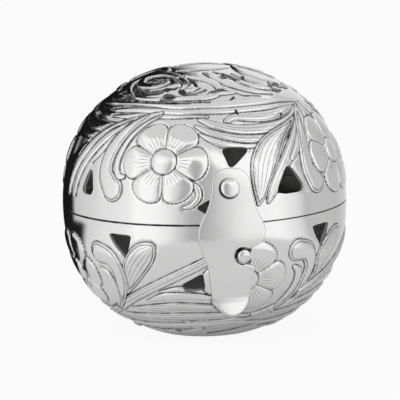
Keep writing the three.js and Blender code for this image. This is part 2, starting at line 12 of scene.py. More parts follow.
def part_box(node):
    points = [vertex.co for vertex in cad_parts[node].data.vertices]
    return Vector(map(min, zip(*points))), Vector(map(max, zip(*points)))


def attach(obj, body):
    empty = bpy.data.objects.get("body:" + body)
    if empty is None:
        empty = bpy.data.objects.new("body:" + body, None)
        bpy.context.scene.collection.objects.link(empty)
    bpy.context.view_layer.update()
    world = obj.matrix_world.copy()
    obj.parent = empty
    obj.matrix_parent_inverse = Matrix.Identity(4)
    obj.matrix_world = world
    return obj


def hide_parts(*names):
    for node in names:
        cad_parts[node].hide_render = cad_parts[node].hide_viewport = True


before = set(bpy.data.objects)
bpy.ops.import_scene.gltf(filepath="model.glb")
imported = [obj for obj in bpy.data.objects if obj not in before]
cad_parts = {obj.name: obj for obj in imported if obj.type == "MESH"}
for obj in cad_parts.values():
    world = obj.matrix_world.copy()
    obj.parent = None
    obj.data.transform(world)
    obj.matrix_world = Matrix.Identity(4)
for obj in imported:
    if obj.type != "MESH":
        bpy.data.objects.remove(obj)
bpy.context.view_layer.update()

bl_info = {
    "name": "Silver Ball Box",
    "version": (1, 0, 0),
    "blender": (4, 5, 0),
    "location": "View3D > Sidebar > Ball Box",
    "description": "Builds a pierced and chased silver ball box with a hinged lid and a swivel hook",
    "category": "Object",
}

MM = 0.001
DEGREES = math.pi / 180


# Sizes and finishes


class BallSizes(bpy.types.PropertyGroup):
    radius: FloatProperty(
        name="Radius", description="Half the width of the ball", default=0.035, unit="LENGTH"
    )
    pole_radius: FloatProperty(
        name="Half Height", description="From the seam to the top", default=0.0335, unit="LENGTH"
    )
    fullness: FloatProperty(
        name="Fullness", description="2 is an ellipsoid, more is fuller", default=2.15, min=2, max=3
    )
    seam: FloatProperty(
        name="Seam Height", description="Seam above the foot", default=0.032, unit="LENGTH"
    )
    wall: FloatProperty(
        name="Wall", description="Thickness of the sheet", default=0.0008, unit="LENGTH"
    )
    seam_gap: FloatProperty(
        name="Seam Gap", description="Gap between the halves", default=0.0003, unit="LENGTH"
    )
    fineness: IntProperty(
        name="Fineness", description="Subdivisions before the chasing", default=7, min=5, max=8
    )


class ChasingSizes(bpy.types.PropertyGroup):
    rise: FloatProperty(
        name="Rise", description="Height of leaves and scrolls", default=0.0005, unit="LENGTH"
    )
    petal_rise: FloatProperty(
        name="Petal Rise", description="Height of the petals", default=0.0006, unit="LENGTH"
    )
    eye_rise: FloatProperty(
        name="Eye Rise", description="Height of a flower's eye", default=0.0008, unit="LENGTH"
    )
    groove: FloatProperty(
        name="Groove", description="Depth of the line round a form", default=0.00016, unit="LENGTH"
    )
    groove_width: FloatProperty(
        name="Groove Width", description="Half width of that line", default=0.00022, unit="LENGTH"
    )
    fine_line: FloatProperty(
        name="Fine Line", description="Half width of its oxide", default=0.00012, unit="LENGTH"
    )


class HookSizes(bpy.types.PropertyGroup):
    stand_off: FloatProperty(
        name="Stand-off", description="Between ball and hook", default=0.0012, unit="LENGTH"
    )
    thickness: FloatProperty(
        name="Thickness", description="Thickness of the plate", default=0.0009, unit="LENGTH"
    )
    rounding: FloatProperty(
        name="Edge Rounding", description="Rounding of the rim", default=0.0003, unit="LENGTH"
    )
    lean: FloatProperty(
        name="Lean", description="Tilt of the hook", default=1.3 * DEGREES, subtype="ANGLE"
    )
    straight_from: FloatProperty(
        name="Straight From", description="Where the bend ends", default=-8 * DEGREES, subtype="ANGLE"
    )
    flare_from: FloatProperty(
        name="Flare From", description="Height of the flare", default=-0.0173, unit="LENGTH"
    )
    flare_turn: FloatProperty(
        name="Flare Turn", description="How far the tip turns out", default=34 * DEGREES, subtype="ANGLE"
    )
    flare_bend: FloatProperty(
        name="Flare Bend", description="Radius of the bend there", default=0.0035, unit="LENGTH"
    )
    crown: FloatProperty(
        name="Crown", description="How far the rim is hammered down", default=0.0007, unit="LENGTH"
    )
    pivot: FloatProperty(
        name="Pivot", description="Height of the rivet above the seam", default=0.009, unit="LENGTH"
    )


class SilverFinish(bpy.types.PropertyGroup):
    silver: FloatVectorProperty(
        name="Silver", description="Colour of the metal", default=(0.93, 0.93, 0.925),
        min=0, max=1, subtype="COLOR"
    )
    oxide: FloatVectorProperty(
        name="Oxide", description="Colour in the grooves", default=(0.02, 0.02, 0.022),
        min=0, max=1, subtype="COLOR"
    )
    # Colour of the painted shade under heads, on the washer and rove, on the bezel below its top edge,
    # round the hook's rivet and on its side faces
    shade_paint: FloatVectorProperty(
        name="Painted Shade", description="Colour of dirt and dull tarnish", default=(0.05, 0.049, 0.048),
        min=0, max=1, subtype="COLOR"
    )
    inside: FloatVectorProperty(
        name="Inside", description="Colour of the dull inner face", default=(0.8, 0.795, 0.79),
        min=0, max=1, subtype="COLOR"
    )
    polish: FloatProperty(
        name="Polish", description="Roughness of the bright faces", default=0.07, min=0, max=1
    )
    hatching: FloatProperty(
        name="Hatching", description="Depth of the graver's lines", default=0.00002, unit="LENGTH"
    )


class StageLook(bpy.types.PropertyGroup):
    paper: FloatVectorProperty(
        name="Paper", description="Colour of the floor", default=(0.86, 0.86, 0.86),
        min=0, max=1, subtype="COLOR"
    )
    daylight: FloatProperty(
        name="Daylight", description="Brightness of the room on dull faces", default=0.55,
        min=0, max=2
    )
    mirrored_floor: FloatProperty(
        name="Mirrored Floor", description="How white the silver sees the floor", default=0.1,
        min=0, max=1
    )
    soft_box: FloatProperty(
        name="Soft Box", description="Power of the overhead soft box", default=0.9, min=0, unit="POWER"
    )
    cards_out: FloatProperty(
        name="Cards Out", description="How far off the reflector cards stand", default=0.2, unit="LENGTH"
    )


# The bent reflector, going round from the left of the camera: degrees, grey, height in metres, and
# how far from the ball it starts on the floor
REFLECTOR = [
    (-195, 0.80, 0.30, 0.07), (-180, 0.80, 0.30, 0.05), (-175, 0.008, 0.30, 0.05),
    (-126, 0.008, 0.34, 0.05), (-120, 0.60, 0.34, 0.05), (-96, 0.69, 0.30, 0.06),
    (-84, 0.78, 0.28, 0.07), (-64, 0.84, 0.20, 0.07), (-58, 0.88, 0.12, 0.075),
    (-53, 1.0, 0.09, 0.075), (-37, 0.97, 0.09, 0.08), (-28, 0.87, 0.12, 0.09), (-20, 0.69, 0.18, 0.1),
    (-12, 0.48, 0.22, 0.1), (-4, 0.42, 0.22, 0.1), (6, 0.5, 0.2, 0.1), (20, 0.8, 0.14, 0.1),
    (26, 0.9, 0.12, 0.1), (38, 0.93, 0.10, 0.1), (55, 0.97, 0.09, 0.09), (64, 0.87, 0.10, 0.08),
    (74, 0.75, 0.16, 0.075), (82, 0.52, 0.22, 0.07), (96, 0.545, 0.22, 0.07),
    (124, 0.52, 0.24, 0.07), (144, 0.62, 0.26, 0.07), (165, 0.80, 0.30, 0.07),
]

# The card above: radius, height and grey. The dark card on the floor: where it starts and how far it
# goes round, in degrees from the camera, how near it starts, how deep it is, height and grey
ABOVE_RADIUS, ABOVE_HEIGHT, ABOVE_GREY = 0.4, 0.42, 0.66
LYING_FROM, LYING_SPAN, LYING_NEAR, LYING_DEPTH = -190, 92, 0.042, 0.13
LYING_HEIGHT, LYING_GREY = 0.0014, 0.01
# The photo's view: degrees round from the front, up and rolled, metres off, and its picture
CAMERA_AZIMUTH, CAMERA_ELEVATION, CAMERA_ROLL, CAMERA_OFF = -9.75, 10.0, 1.5, 1.0
PICTURE_WIDTH, PIXELS_PER_METRE, PIXELS_ASIDE, SENSOR_WIDTH = 400, 4050.0, 4.6, 36
SOFT_BOX_PLACE, SOFT_BOX_AIM, SOFT_BOX_SIZE = (-0.25, -0.25, 0.6), (0, 0, 0.03), 0.5
FLOOR_SIZE, FLOOR_BELOW = 3.0, 0.00002
# How much plain white the camera sees in place of the lit floor
FLOOR_WHITENESS = 0.92


class BallBoxSettings(bpy.types.PropertyGroup):
    ball: PointerProperty(type=BallSizes)
    chasing: PointerProperty(type=ChasingSizes)
    hook: PointerProperty(type=HookSizes)
    finish: PointerProperty(type=SilverFinish)
    stage: PointerProperty(type=StageLook)


# Ornament. Points are (longitude, latitude, half width): degrees from the hook, and millimetres.
# Later forms lie over earlier ones.

LID_FAN = [
    ("reeded", [(57, 46.5, 0.5), (46, 44.6, 1.1), (35, 43.2, 1.5), (24, 42.8, 1.6), (14, 43.4, 1.4),
                (7, 43.8, 1.0), (2.5, 42.2, 0.9), (3, 39.8, 0.8), (8, 39.2, 0.5)]),
    ("reeded", [(54, 45, 0.5), (44, 40.5, 1.2), (32, 37.4, 1.7), (20, 36.8, 1.8), (8, 37.4, 1.7),
                (-3, 39.8, 1.3), (-12, 43.2, 0.6)]),
    ("reeded", [(46, 40.5, 0.5), (34, 35, 1.3), (22, 32.6, 1.5), (10, 32.9, 1.5), (0, 34.7, 1.3),
                (-8, 37.4, 1.0), (-14, 40.1, 0.5)]),
    ("round", [(36, 35.5, 0.4), (26, 31, 1.0), (12, 30.4, 0.6), (0, 31.6, 1.0), (-7, 34, 0.8),
               (-12, 36.4, 0.4)]),
]
LID_LEAVES = [
    ("round", [(-90, 48, 0.9), (-70, 50, 1.2), (-28, 50.6, 1.35), (0, 50.6, 1.3), (25, 50.2, 1.2),
               (45, 48.5, 1.0), (58, 46, 0.5)]),
    ("round", [(-72, 45.4, 0.4), (-62, 46.3, 0.9), (-28, 47.0, 0.9), (0, 47.2, 0.9), (25, 47, 0.9),
               (44, 46.6, 0.7), (57, 45.5, 0.4)]),
    ("round", [(-66, 42.5, 0.3), (-56, 43.6, 0.9), (-44, 44.6, 0.8), (-26, 44.6, 0.6), (-8, 44.6, 0.4)]),
    ("reeded", [(-36, 46, 0.4), (-48, 42.5, 0.9), (-60, 38, 1.2), (-70, 31, 1.35), (-77, 22, 1.4),
                (-80.5, 13, 1.2), (-81, 8.4, 0.6)]),
    ("reeded", [(-38, 45, 0.4), (-50, 40.5, 0.8), (-60, 35, 1.1), (-67, 28, 1.25), (-72.5, 20, 1.25),
                (-75, 13, 1.0), (-75.5, 8.6, 0.5)]),
    ("round", [(-40, 44, 0.3), (-50, 38.5, 0.7), (-57.5, 33, 0.8), (-62.5, 27, 0.8), (-66, 22.6, 0.4)]),
    ("scroll", [(-34, 46.5, 0.4), (-42, 44, 1.0), (-49, 39, 1.5), (-54, 32, 1.9), (-56.3, 24.5, 2.1),
                (-55.5, 18, 2.3), (-51, 13, 3.1)]),
    ("round", [(-34, 45, 0.3), (-41, 41, 0.6), (-46.6, 35, 0.75), (-49.6, 28, 0.85), (-50.3, 22, 0.85),
               (-48.5, 18.4, 0.85), (-46, 18.2, 0.6)]),
    ("round", [(-17.5, 17.5, 0.5), (-13.5, 14.5, 0.8), (-13, 11, 0.85), (-15.5, 8, 0.7), (-19, 7, 0.4)]),
    ("veined", [(46, 40, 0.5), (33, 36, 1.2), (25, 32.2, 2.3), (19.4, 27.6, 3.3), (15.8, 21.6, 3.6),
                (13.4, 14.5, 2.6), (11, 7.2, 0.5)]),
    ("reeded", [(49, 41.5, 0.4), (38, 33, 1.2), (30, 26, 1.6), (23, 18.5, 1.7), (17.6, 11.5, 1.3),
                (15.4, 7.6, 0.5)]),
    ("round", [(51, 42, 0.4), (42, 34, 1.0), (36, 28, 1.1), (30.5, 23.6, 0.8)]),
    ("scroll", [(55.5, 45, 0.4), (48, 40, 1.1), (42.5, 32.5, 1.6), (39.4, 25, 1.9), (38.2, 18.5, 2.2),
                (41.5, 13, 3.1)]),
    ("round", [(55, 44, 0.3), (50, 38, 0.8), (46.2, 31, 0.9), (44.4, 24.5, 0.95), (44.6, 19.4, 0.9),
               (47.6, 17.6, 0.6)]),
    ("reeded", [(59, 45.5, 0.4), (58, 41.5, 1.5), (57, 37, 2.0), (57, 33, 1.4)]),
    ("reeded", [(63, 45.5, 0.4), (66, 40, 1.3), (66, 34.5, 1.0)]),
    ("round", [(72, 17.5, 0.5), (76, 14.5, 0.8), (76.5, 11, 0.85), (74, 8, 0.7), (70.5, 7, 0.4)]),
    # The crown
    ("round", [(-80, 54, 0.5), (-60, 53.6, 0.8), (-44, 53.6, 0.8), (-22, 55, 1.0), (-6, 55.6, 1.1),
               (4, 59.6, 1.1), (0, 66.5, 1.1), (-16, 70.6, 1.0), (-34, 72.5, 0.6)]),
    ("round", [(-62, 53.2, 0.4), (-76, 56, 0.8), (-88, 60, 0.9), (-88, 66, 0.7)]),
    ("scroll", [(-27, 61.5, 0.6), (-27, 66, 1.1), (-38, 70.4, 1.2), (-58, 72.6, 1.2), (-78, 70.4, 1.2),
                (-84, 65, 1.3), (-72, 61.4, 1.3), (-56, 61.6, 1.2), (-47, 64.6, 1.0), (-50, 67.2, 0.7)]),
    ("round", [(-27, 60, 0.4), (-20, 60.4, 0.9), (-14.5, 62, 0.5)]),
    ("round", [(14, 57, 0.3), (6, 57.6, 0.8), (-2, 57, 0.4)]),
    ("round", [(-6, 76, 0.5), (6, 69, 0.9), (16, 62.5, 1.0), (30, 57, 0.9), (44, 53.5, 0.5)]),
    ("round", [(14, 77, 0.5), (26, 71, 0.6), (29, 64.5, 0.9), (40, 58.6, 1.0), (54, 54.6, 0.6)]),
    ("reeded", [(36, 72, 0.5), (40, 66.5, 1.4), (48, 61, 1.5), (54, 57.6, 0.6)]),
    ("scroll", [(84, 54.5, 0.6), (72, 54.5, 1.0), (58, 60.6, 1.2), (52, 67.6, 1.2), (64, 74, 1.1),
                (96, 76, 0.8)]),
    ("round", [(-60, 78, 0.5), (-30, 80.5, 0.9), (20, 81, 0.9), (60, 79, 0.5)]),
    # Deep cuts, black over their whole width as painted shade: dark slots, and a shadow line under the
    # crown's edge
    ("cut", [(-72.4, 57.8, 0.35), (-63.7, 56.5, 1), (-53.7, 57, 0.9), (-45, 58.9, 0.75),
             (-37.8, 61.3, 0.6), (-30.5, 62.5, 0.12)]),
    ("cut", [(-69.3, 64.2, 0.3), (-59.9, 64.5, 0.45), (-55.4, 66.4, 0.35), (-48.2, 68, 0.16),
             (-39.2, 69, 0.18), (-30.5, 67.5, 0.45), (-26.4, 65, 0.6), (-27.2, 63.9, 0.25)]),
    ("cut", [(-28.4, 60, 0.4), (-25.8, 58.6, 0.75), (-21.2, 57.5, 0.5), (-16.1, 57.7, 0.3),
             (-10.9, 59.1, 0.3), (-7.6, 60.3, 0.3)]),
    ("cut", [(-38.4, 52.6, 0.4), (-34.5, 53.8, 0.9), (-30.9, 55.3, 0.8)]),
    # Painted shadow under the crown's edge, widest at the left
    ("cut", [(-79.1, 49.5, 0.5), (-68.9, 50, 0.6), (-56, 50.8, 0.4), (-44.4, 51, 0.32),
             (-30.2, 51.1, 0.3), (-19.1, 51.5, 0.2), (-5.6, 51.7, 0.12)]),
    ("cut", [(-84.1, 53.2, 0.3), (-82.5, 54.6, 0.45), (-80.2, 56.1, 0.2)]),
    ("cut", [(-74.5, 51.7, 0.2), (-69.9, 53.4, 0.5), (-61.5, 53, 0.3)]),
    ("cut", [(11.6, 76, 0.12), (16, 73.7, 0.12), (22.6, 72.9, 0.1)]),
    ("cut", [(9.4, 69.4, 0.35), (16.9, 69.1, 0.45), (23.1, 70.7, 0.5), (23.4, 68.1, 0.5),
             (27.8, 65.1, 0.3)]),
    ("cut", [(37.1, 67.3, 0.3), (32.8, 63.5, 0.2), (39.1, 61.4, 0.22), (43.8, 58.5, 0.22)]),
    ("cut", [(56.6, 59.5, 0.3), (50.7, 56.2, 0.6), (52.4, 54, 0.6), (58.7, 53.7, 0.3)]),
    ("cut", [(-5.1, 58.3, 0.25), (-1.1, 59.2, 0.22), (4.6, 59.3, 0.18), (9.8, 57.9, 0.14)]),
    ("cut", [(8.4, 53.1, 0.12), (12.2, 54.5, 0.25)]),
    ("cut", [(15.1, 57, 0.12), (19.5, 54.8, 0.14), (26.5, 54.2, 0.14), (31.6, 53.3, 0.14)]),
    ("cut", [(8.9, 46.7, 0.2), (8.8, 45.4, 0.25), (9.4, 44.3, 0.15)]),
    ("cut", [(35.5, 42.1, 0.3), (34.6, 41.1, 0.25)]),
]
LID_FLOWERS = [(-28, 25), (61, 22.5)]
LID_HOLES = [
    ([(-65.5, 21.9), (-60.8, 9.2), (-70.8, 9.2)], 0.4),
    ([(-3.2, 30.7), (11.4, 29.7), (0.5, 20.9)], 0.3),
    ([(27, 23), (17.6, 9.7), (35, 9.7)], 0.34),
    ([(86.8, 30.7), (101.4, 29.7), (90.5, 20.9)], 0.3),
    ([(-72, 59.5), (-56, 55.2), (-41, 59.5), (-30, 63), (-42, 60.8), (-56, 57.8)], 0.25),
    ([(-40, 57.6), (-31, 57.6), (-31, 54.2), (-40, 54.2)], 0.45),
    ([(-72, 66.6), (-58, 68.8), (-48, 67.2), (-58, 66.2)], 0.3),
    ([(-30, 71.4), (-18, 68.6), (-13, 62.5), (-16, 62.5), (-22, 67.2)], 0.3),
    ([(8, 70.6), (24, 73), (30, 66), (24, 70)], 0.3),
    ([(57, 58.5), (68, 58), (63, 54.5)], 0.25),
    ([(-4, 60), (10, 60), (10, 58.8), (-3, 58.8)], 0.3),
]
HOLE_BEHIND_HOOK = ([(-14.5, 7), (-8, 10.4), (-7.6, 2.6)], 0.25)

BASE_LEAVES = [
    ("double", [(-118, -45, 0.8), (-98, -48, 1.1), (-78, -45.5, 1.2), (-62, -40.4, 1.3),
                (-50, -34.5, 1.3), (-37, -28, 1.3), (-24, -21.6, 1.3), (-12, -15.6, 1.2),
                (-3, -11, 0.8)]),
    ("round", [(-72, -51, 0.5), (-50, -52, 1.2), (-26, -50.6, 1.4), (0, -49, 1.2), (22, -50.4, 0.6)]),
    ("reeded", [(-62, -44.5, 0.4), (-44, -44.5, 1.3), (-24, -43.6, 1.6), (-4, -43, 1.4),
                (12, -44, 0.6)]),
    ("reeded", [(-52, -39.5, 0.4), (-38, -38.4, 1.3), (-24, -37, 1.5), (-8, -37.6, 1.2), (0, -40, 0.5)]),
    ("round", [(-40, -34.2, 0.3), (-31, -31.6, 1.2), (-21, -30.4, 1.5), (-12, -31, 1.4),
               (-3, -33, 0.5)]),
    ("round", [(-32, -29, 0.3), (-24, -27.4, 0.8), (-16, -27.8, 0.7), (-10, -29.4, 0.3)]),
    ("veined", [(-50.5, -31, 0.5), (-46.2, -24.5, 2.1), (-41.3, -17.4, 3.2), (-37, -12.6, 3.1),
                (-33.4, -9.4, 1.5)]),
    ("scroll", [(-63, -41, 0.5), (-55.5, -34, 1.2), (-51.4, -26.5, 1.7), (-51.1, -20, 2.0),
                (-54.4, -14.9, 2.5), (-60, -13.6, 2.9)]),
    ("round", [(-63.5, -40, 0.4), (-58.8, -34, 1.0), (-56.8, -28, 1.1), (-57.6, -23, 1.1),
               (-60.6, -20.6, 0.6)]),
    ("round", [(-60, -56, 0.5), (-44, -58, 1.0), (-26, -57, 1.2), (-16, -54, 1.0), (-20, -51.6, 0.6)]),
    ("round", [(-10, -61, 0.5), (10, -58, 1.2), (22, -53.6, 0.6)]),
]
BASE_FLOWERS = [(6.3, -24.2)]
BASE_HOLES = [
    ([(-53, -4.6), (-41.4, -4.6), (-42.6, -9), (-45.4, -15), (-47, -13), (-50.5, -9)], 0.3),
    ([(-22, -25.3), (-12, -19.6), (-11, -27.6), (-20, -28.2)], 0.25),
    ([(-42, -53), (-29, -55.6), (-30, -57.4), (-41, -55.2)], 0.35),
]
PATTERN_TURN = 0.85
QUARTERS = tuple(turn + PATTERN_TURN for turn in (0, 90, 180, 270))
HALVES = QUARTERS[::2]

# Lengths in millimetres, from here to the operators. Chased strokes are measured at REACH from the
# middle of the ball.
REACH = 35.2
THINNEST_STROKE = 0.06
PETALS = 6
FLOWER_RADIUS = 10.8
PETAL_MEETING = 7.6
EYE_RADIUS = 3.1
# The line that follows an outline runs this far inside it
RIM_INSIDE = 0.62
# The sheet is rounded over beside its piercings
EASING_DEPTH, EASING_WIDTH = 0.16, 0.35
# How much of the relief shows on the inner face
INNER_SHARE = 0.6
# The mesh is made finer within these distances of a chased line, one after the other
REFINED_WITHIN = (0.8, 0.3)
PIERCING_REACH = 3.2
RIVET_HOLE, STUD_HOLE, PIVOT_HOLE = 1.2, 1.1, 1.0
BORED = (30, 40)
TROUGH_RADIUS, TROUGH_REACH = 1.5, 8.2
BEARER_GAP, BEARER_OFF, BEARER_CHAMFER = 0.18, 0.3, 0.35
WASHER_BORE, WASHER_RADIUS = 1.2, 2.2
KNUCKLE_BORE, KNUCKLE_ROUNDING = 0.65, 0.14
PIN_RADIUS, PIN_HEAD_RADIUS, PIN_HEAD_RISE, PIN_NECK = 0.55, 0.9, 0.45, 0.47
# Rivets are spread over this far off the inner face
SEAT = 0.6
DOME_STEPS = 10
# The tool for the hollow reaches past the seam, as a share of the radius
PAST_SEAM = 2.0 / 35


def settings():
    return bpy.context.scene.ball_box


def toward(longitude, latitude):
    """Unit directions from the middle of the ball, with longitude counted from the hook to +X."""
    lon, lat = np.radians(longitude), np.radians(latitude)
    return np.stack([np.cos(lat) * np.sin(lon), -np.cos(lat) * np.cos(lon), np.sin(lat)], -1)


def ball_radius(directions, inset=0.0):
    """Distance from the middle of the ball to its surface, in millimetres."""
    ball = settings().ball
    level = np.hypot(directions[..., 0], directions[..., 1]) / (ball.radius / MM - inset)
    rise = np.abs(directions[..., 2]) / (ball.pole_radius / MM - inset)
    return (level**ball.fullness + rise**ball.fullness) ** (-1 / ball.fullness)


def smooth_path(stroke, turn):
    """A smooth line over the ball through the points of a stroke: places and half widths."""
    lon, lat, half = np.array(stroke, float).T
    knots = np.column_stack([toward(lon + turn, lat) * REACH, half])
    knots = np.vstack([2 * knots[0] - knots[1], knots, 2 * knots[-1] - knots[-2]])
    path = []
    for a, b, c, d in zip(knots, knots[1:], knots[2:], knots[3:]):
        for t in np.linspace(0, 1, 6)[:-1]:
            cubic = 3 * b - a - 3 * c + d
            path.append(0.5 * (2 * b + (c - a) * t + (2 * a - 5 * b + 4 * c - d) * t**2 + cubic * t**3))
    path = np.array(path + [knots[-2]])
    path[:, :3] *= REACH / np.linalg.norm(path[:, :3], axis=1, keepdims=True)
    path[:, 3] = np.maximum(path[:, 3], THINNEST_STROKE)
    return path


def beside_path(points, places, halves):
    """Where points lie beside a line: how far beyond its outline, how far off its middle, its half
    width there, on which side, and how far along."""
    beyond = np.full(len(points), 1e9)
    away, half, side, along = (np.zeros(len(points)) for _ in range(4))
    travelled = 0.0
    for a, b, wide_a, wide_b in zip(places, places[1:], halves, halves[1:]):
        step = b - a
        length = np.linalg.norm(step)
        share = np.clip((points - a) @ step / length**2, 0, 1)
        offset = points - a - share[:, None] * step
        distance = np.linalg.norm(offset, axis=1)
        width = wide_a + (wide_b - wide_a) * share
        closer = distance - width < beyond
        beyond[closer] = (distance - width)[closer]
        away[closer] = distance[closer]
        half[closer] = width[closer]
        side[closer] = np.sign(offset @ np.cross(a, step))[closer]
        along[closer] = (travelled + share * length)[closer]
        travelled += length
    return beyond, away, half, side, along


class Chasing:
    """The chased work at many points of the ball: its height, and what its fine lines follow."""

    def __init__(self, directions):
        self.points = directions * REACH
        count = len(directions)
        self.height = np.zeros(count)
        self.edge = np.full(count, 9.0)
        self.ink, self.reeds, self.rim, self.worked = np.zeros((4, count))
        self.line = np.zeros((count, 3))

    def near(self, middle, distance):
        return np.flatnonzero(((self.points - middle) ** 2).sum(1) < distance**2)

    def outline(self, near, distance, ink, where=True):
        """Draws a line where it is nearer than the lines that are there."""
        nearer = where & (distance <= self.edge[near])
        self.edge[near] = np.where(nearer, distance, self.edge[near])
        self.ink[near] = np.where(nearer, ink, self.ink[near])

    def lay(self, near, beyond, height, ink, **inside):
        """Puts a form over what is there. Points outside its outline are beyond it."""
        sizes = settings().chasing
        within = beyond < 0
        groove = np.exp(-((beyond * MM / sizes.groove_width) ** 2)) * sizes.groove / MM
        self.height[near] = np.where(within, height, self.height[near]) - groove
        self.edge[near] = np.where(within, 9.0, self.edge[near])
        self.outline(near, np.abs(beyond), ink)
        self.worked[near] = np.maximum(self.worked[near], within)
        for name, value in inside.items():
            kept = getattr(self, name)
            mask = within[:, None] if kept.ndim > 1 else within
            kept[near] = np.where(mask, value, kept[near])

    def sink(self, near, beyond, crown):
        """Cuts a deep line and paints shade over its whole width in the oxide's colour."""
        within = beyond < 0
        self.height[near] -= np.where(within, 0.3 * crown, 0)
        self.edge[near] = np.where(within, 0, self.edge[near])
        self.outline(near, np.maximum(beyond, 0), 1.0, beyond < 0.4)
        for kept in (self.reeds, self.rim):
            kept[near] = np.where(within, 0, kept[near])

    def form(self, kind, stroke, turn):
        """Raises a leaf or a scroll along a stroke, or cuts a deep line along it."""
        path = smooth_path(stroke, turn)
        places, halves = path[:, :3], path[:, 3]
        middle = (places.max(0) + places.min(0)) / 2
        reach = np.linalg.norm(places - middle, axis=1).max() + halves.max() + 1
        near = self.near(middle, reach)
        if not near.size:
            return
        beyond, away, half, side, along = beside_path(self.points[near], places, halves)
        across = np.clip(away / half, 0, 1)
        crown = np.sqrt(1 - across**2)
        if kind == "cut":
            self.sink(near, beyond, crown)
            return
        rise = settings().chasing.rise / MM * np.clip(half / 1.3, 0.2, 1) ** 0.7
        reeds, rim, flutes, shift = 0.0, 0.0, 2.0, 0.0
        height = crown**0.85
        if kind == "reeded":
            flutes = max(2, round(half.max() / 0.42))
            reeds = 0.85
        elif kind == "double":
            flutes, shift, reeds = 3.0, 0.5, 0.9
            height = crown * 0.55 + 0.6 * np.sin(math.pi * across) ** 0.8
        elif kind == "veined":
            flutes, rim, reeds = 6.0, 0.9, np.clip((half - away - 0.85) / 0.15, 0, 1) * 0.8
            height = crown**0.6 - 0.45 * np.exp(-(((half - away - 0.65) / 0.25) ** 2))
        elif kind == "scroll":
            rim = np.where(half > 0.9, 0.75, 0.0)
            height = (1 - across**3) ** 0.5 - 0.3 * np.exp(-(((half - away - 0.6) / 0.2) ** 2)) * rim
        phase = side * across * flutes / 2 + shift
        height = rise * (height + 0.08 * crown * np.cos(2 * math.pi * phase) * reeds)
        bead = 0.9 + 0.06 * np.sign(np.cos(along * 2 * math.pi / 0.95))
        line = np.column_stack([along, side * away, phase])
        self.lay(near, beyond, np.maximum(height, 0.02), bead, reeds=reeds, rim=rim, line=line)

    def flower(self, longitude, latitude):
        """Raises a flower with its petals, its ring and its eye."""
        sizes = settings().chasing
        middle = toward(longitude, latitude)
        east = toward(longitude + 90, 0)
        north = np.cross(middle, east)
        near = self.near(middle * REACH, FLOWER_RADIUS + 1.5)
        if not near.size:
            return
        points = self.points[near]
        distance = REACH * np.arccos(np.clip(points @ middle / REACH, -1, 1))
        angle = np.arctan2(points @ north, points @ east)
        slice_angle = 2 * math.pi / PETALS
        turn = (angle + slice_angle / 2) % slice_angle - slice_angle / 2
        share = np.abs(turn) / (slice_angle / 2)
        tip = np.clip((distance - PETAL_MEETING) / (FLOWER_RADIUS - PETAL_MEETING), 0, None)
        edge = share**2.2 + tip**2.2
        beyond = (np.maximum(edge, 1e-6) ** (1 / 2.2) - 1) * 3.2
        beyond = np.where(tip > 0, beyond, -1)
        parting = distance * np.sin(slice_angle / 2 - np.abs(turn))
        swell = np.sqrt(np.clip(1 - np.maximum(edge, share**2.2 * 0.8), 0, 1))
        start = np.clip((distance - EYE_RADIUS) / 3.4, 0, 1)
        petal = sizes.petal_rise / MM * swell**0.8 * (0.35 + 0.65 * start**1.2)
        window = np.clip((distance - 3.7) / 0.4, 0, 1) * np.clip((6.9 - distance) / 1.4, 0, 1)
        window *= np.clip((0.85 - share) / 0.2, 0, 1)
        phase = turn * PETALS * 6.5 / (2 * math.pi)
        petal += 0.05 * np.cos(2 * math.pi * phase) * window
        petal -= 0.24 * np.exp(-((parting / 0.3) ** 2)) * np.clip(FLOWER_RADIUS - 2 - distance, 0, 1)
        eye = distance < EYE_RADIUS
        dome = sizes.eye_rise / MM * np.sqrt(np.clip(1 - (distance / (EYE_RADIUS + 0.05)) ** 2, 0, 1))
        bead = np.exp(-(((distance - EYE_RADIUS - 0.55) / 0.22) ** 2))
        ring = np.abs(distance - EYE_RADIUS - 0.1)
        height = np.where(eye, dome + 0.1, petal + 0.16 * bead) - 0.2 * np.exp(-((ring / 0.2) ** 2))
        line = np.column_stack([angle * FLOWER_RADIUS, beyond, phase])
        beads = 0.78 + 0.22 * np.sign(np.cos(angle * 62))
        self.lay(near, beyond, height, beads, reeds=window * 0.95, rim=0.0, worked=0.25, line=line)
        within = beyond < 0
        self.outline(near, parting, 0.7, within & ~eye & (distance < FLOWER_RADIUS - 1.8))
        self.outline(near, ring, 0.85, within)

    def ease_holes(self, holes, turns):
        """Rounds the sheet over towards the edges of the piercings."""
        for corners, _ in holes:
            for turn in turns:
                edge = toward(np.array(corners)[:, 0] + turn, np.array(corners)[:, 1]) * REACH
                middle = edge.mean(0)
                near = self.near(middle, np.linalg.norm(edge - middle, axis=1).max() + 1)
                if not near.size:
                    continue
                points, closest = self.points[near], np.full(len(near), 1e9)
                for a, b in zip(edge, np.roll(edge, -1, axis=0)):
                    step = b - a
                    share = np.clip((points - a) @ step / (step @ step), 0, 1)
                    offset = np.linalg.norm(points - a - share[:, None] * step, axis=1)
                    closest = np.minimum(closest, offset)
                self.height[near] -= EASING_DEPTH * np.exp(-((closest / EASING_WIDTH) ** 2))


def chased(directions, side):
    """The chased work of the lid (side 1) or of the base (side -1)."""
    work = Chasing(directions)
    leaves, flowers = (LID_LEAVES, LID_FLOWERS) if side > 0 else (BASE_LEAVES, BASE_FLOWERS)
    turns = HALVES if side > 0 else QUARTERS
    if side > 0:
        for turn in QUARTERS:
            for kind, stroke in LID_FAN:
                work.form(kind, stroke, turn)
    for kind, stroke in leaves:
        for turn in turns:
            work.form(kind, stroke, turn)
    for longitude, latitude in flowers:
        for turn in turns:
            work.flower(longitude + turn, latitude)
    if side > 0:
        work.ease_holes(LID_HOLES, HALVES)
    else:
        work.ease_holes(BASE_HOLES, QUARTERS)
    return work


# Meshes


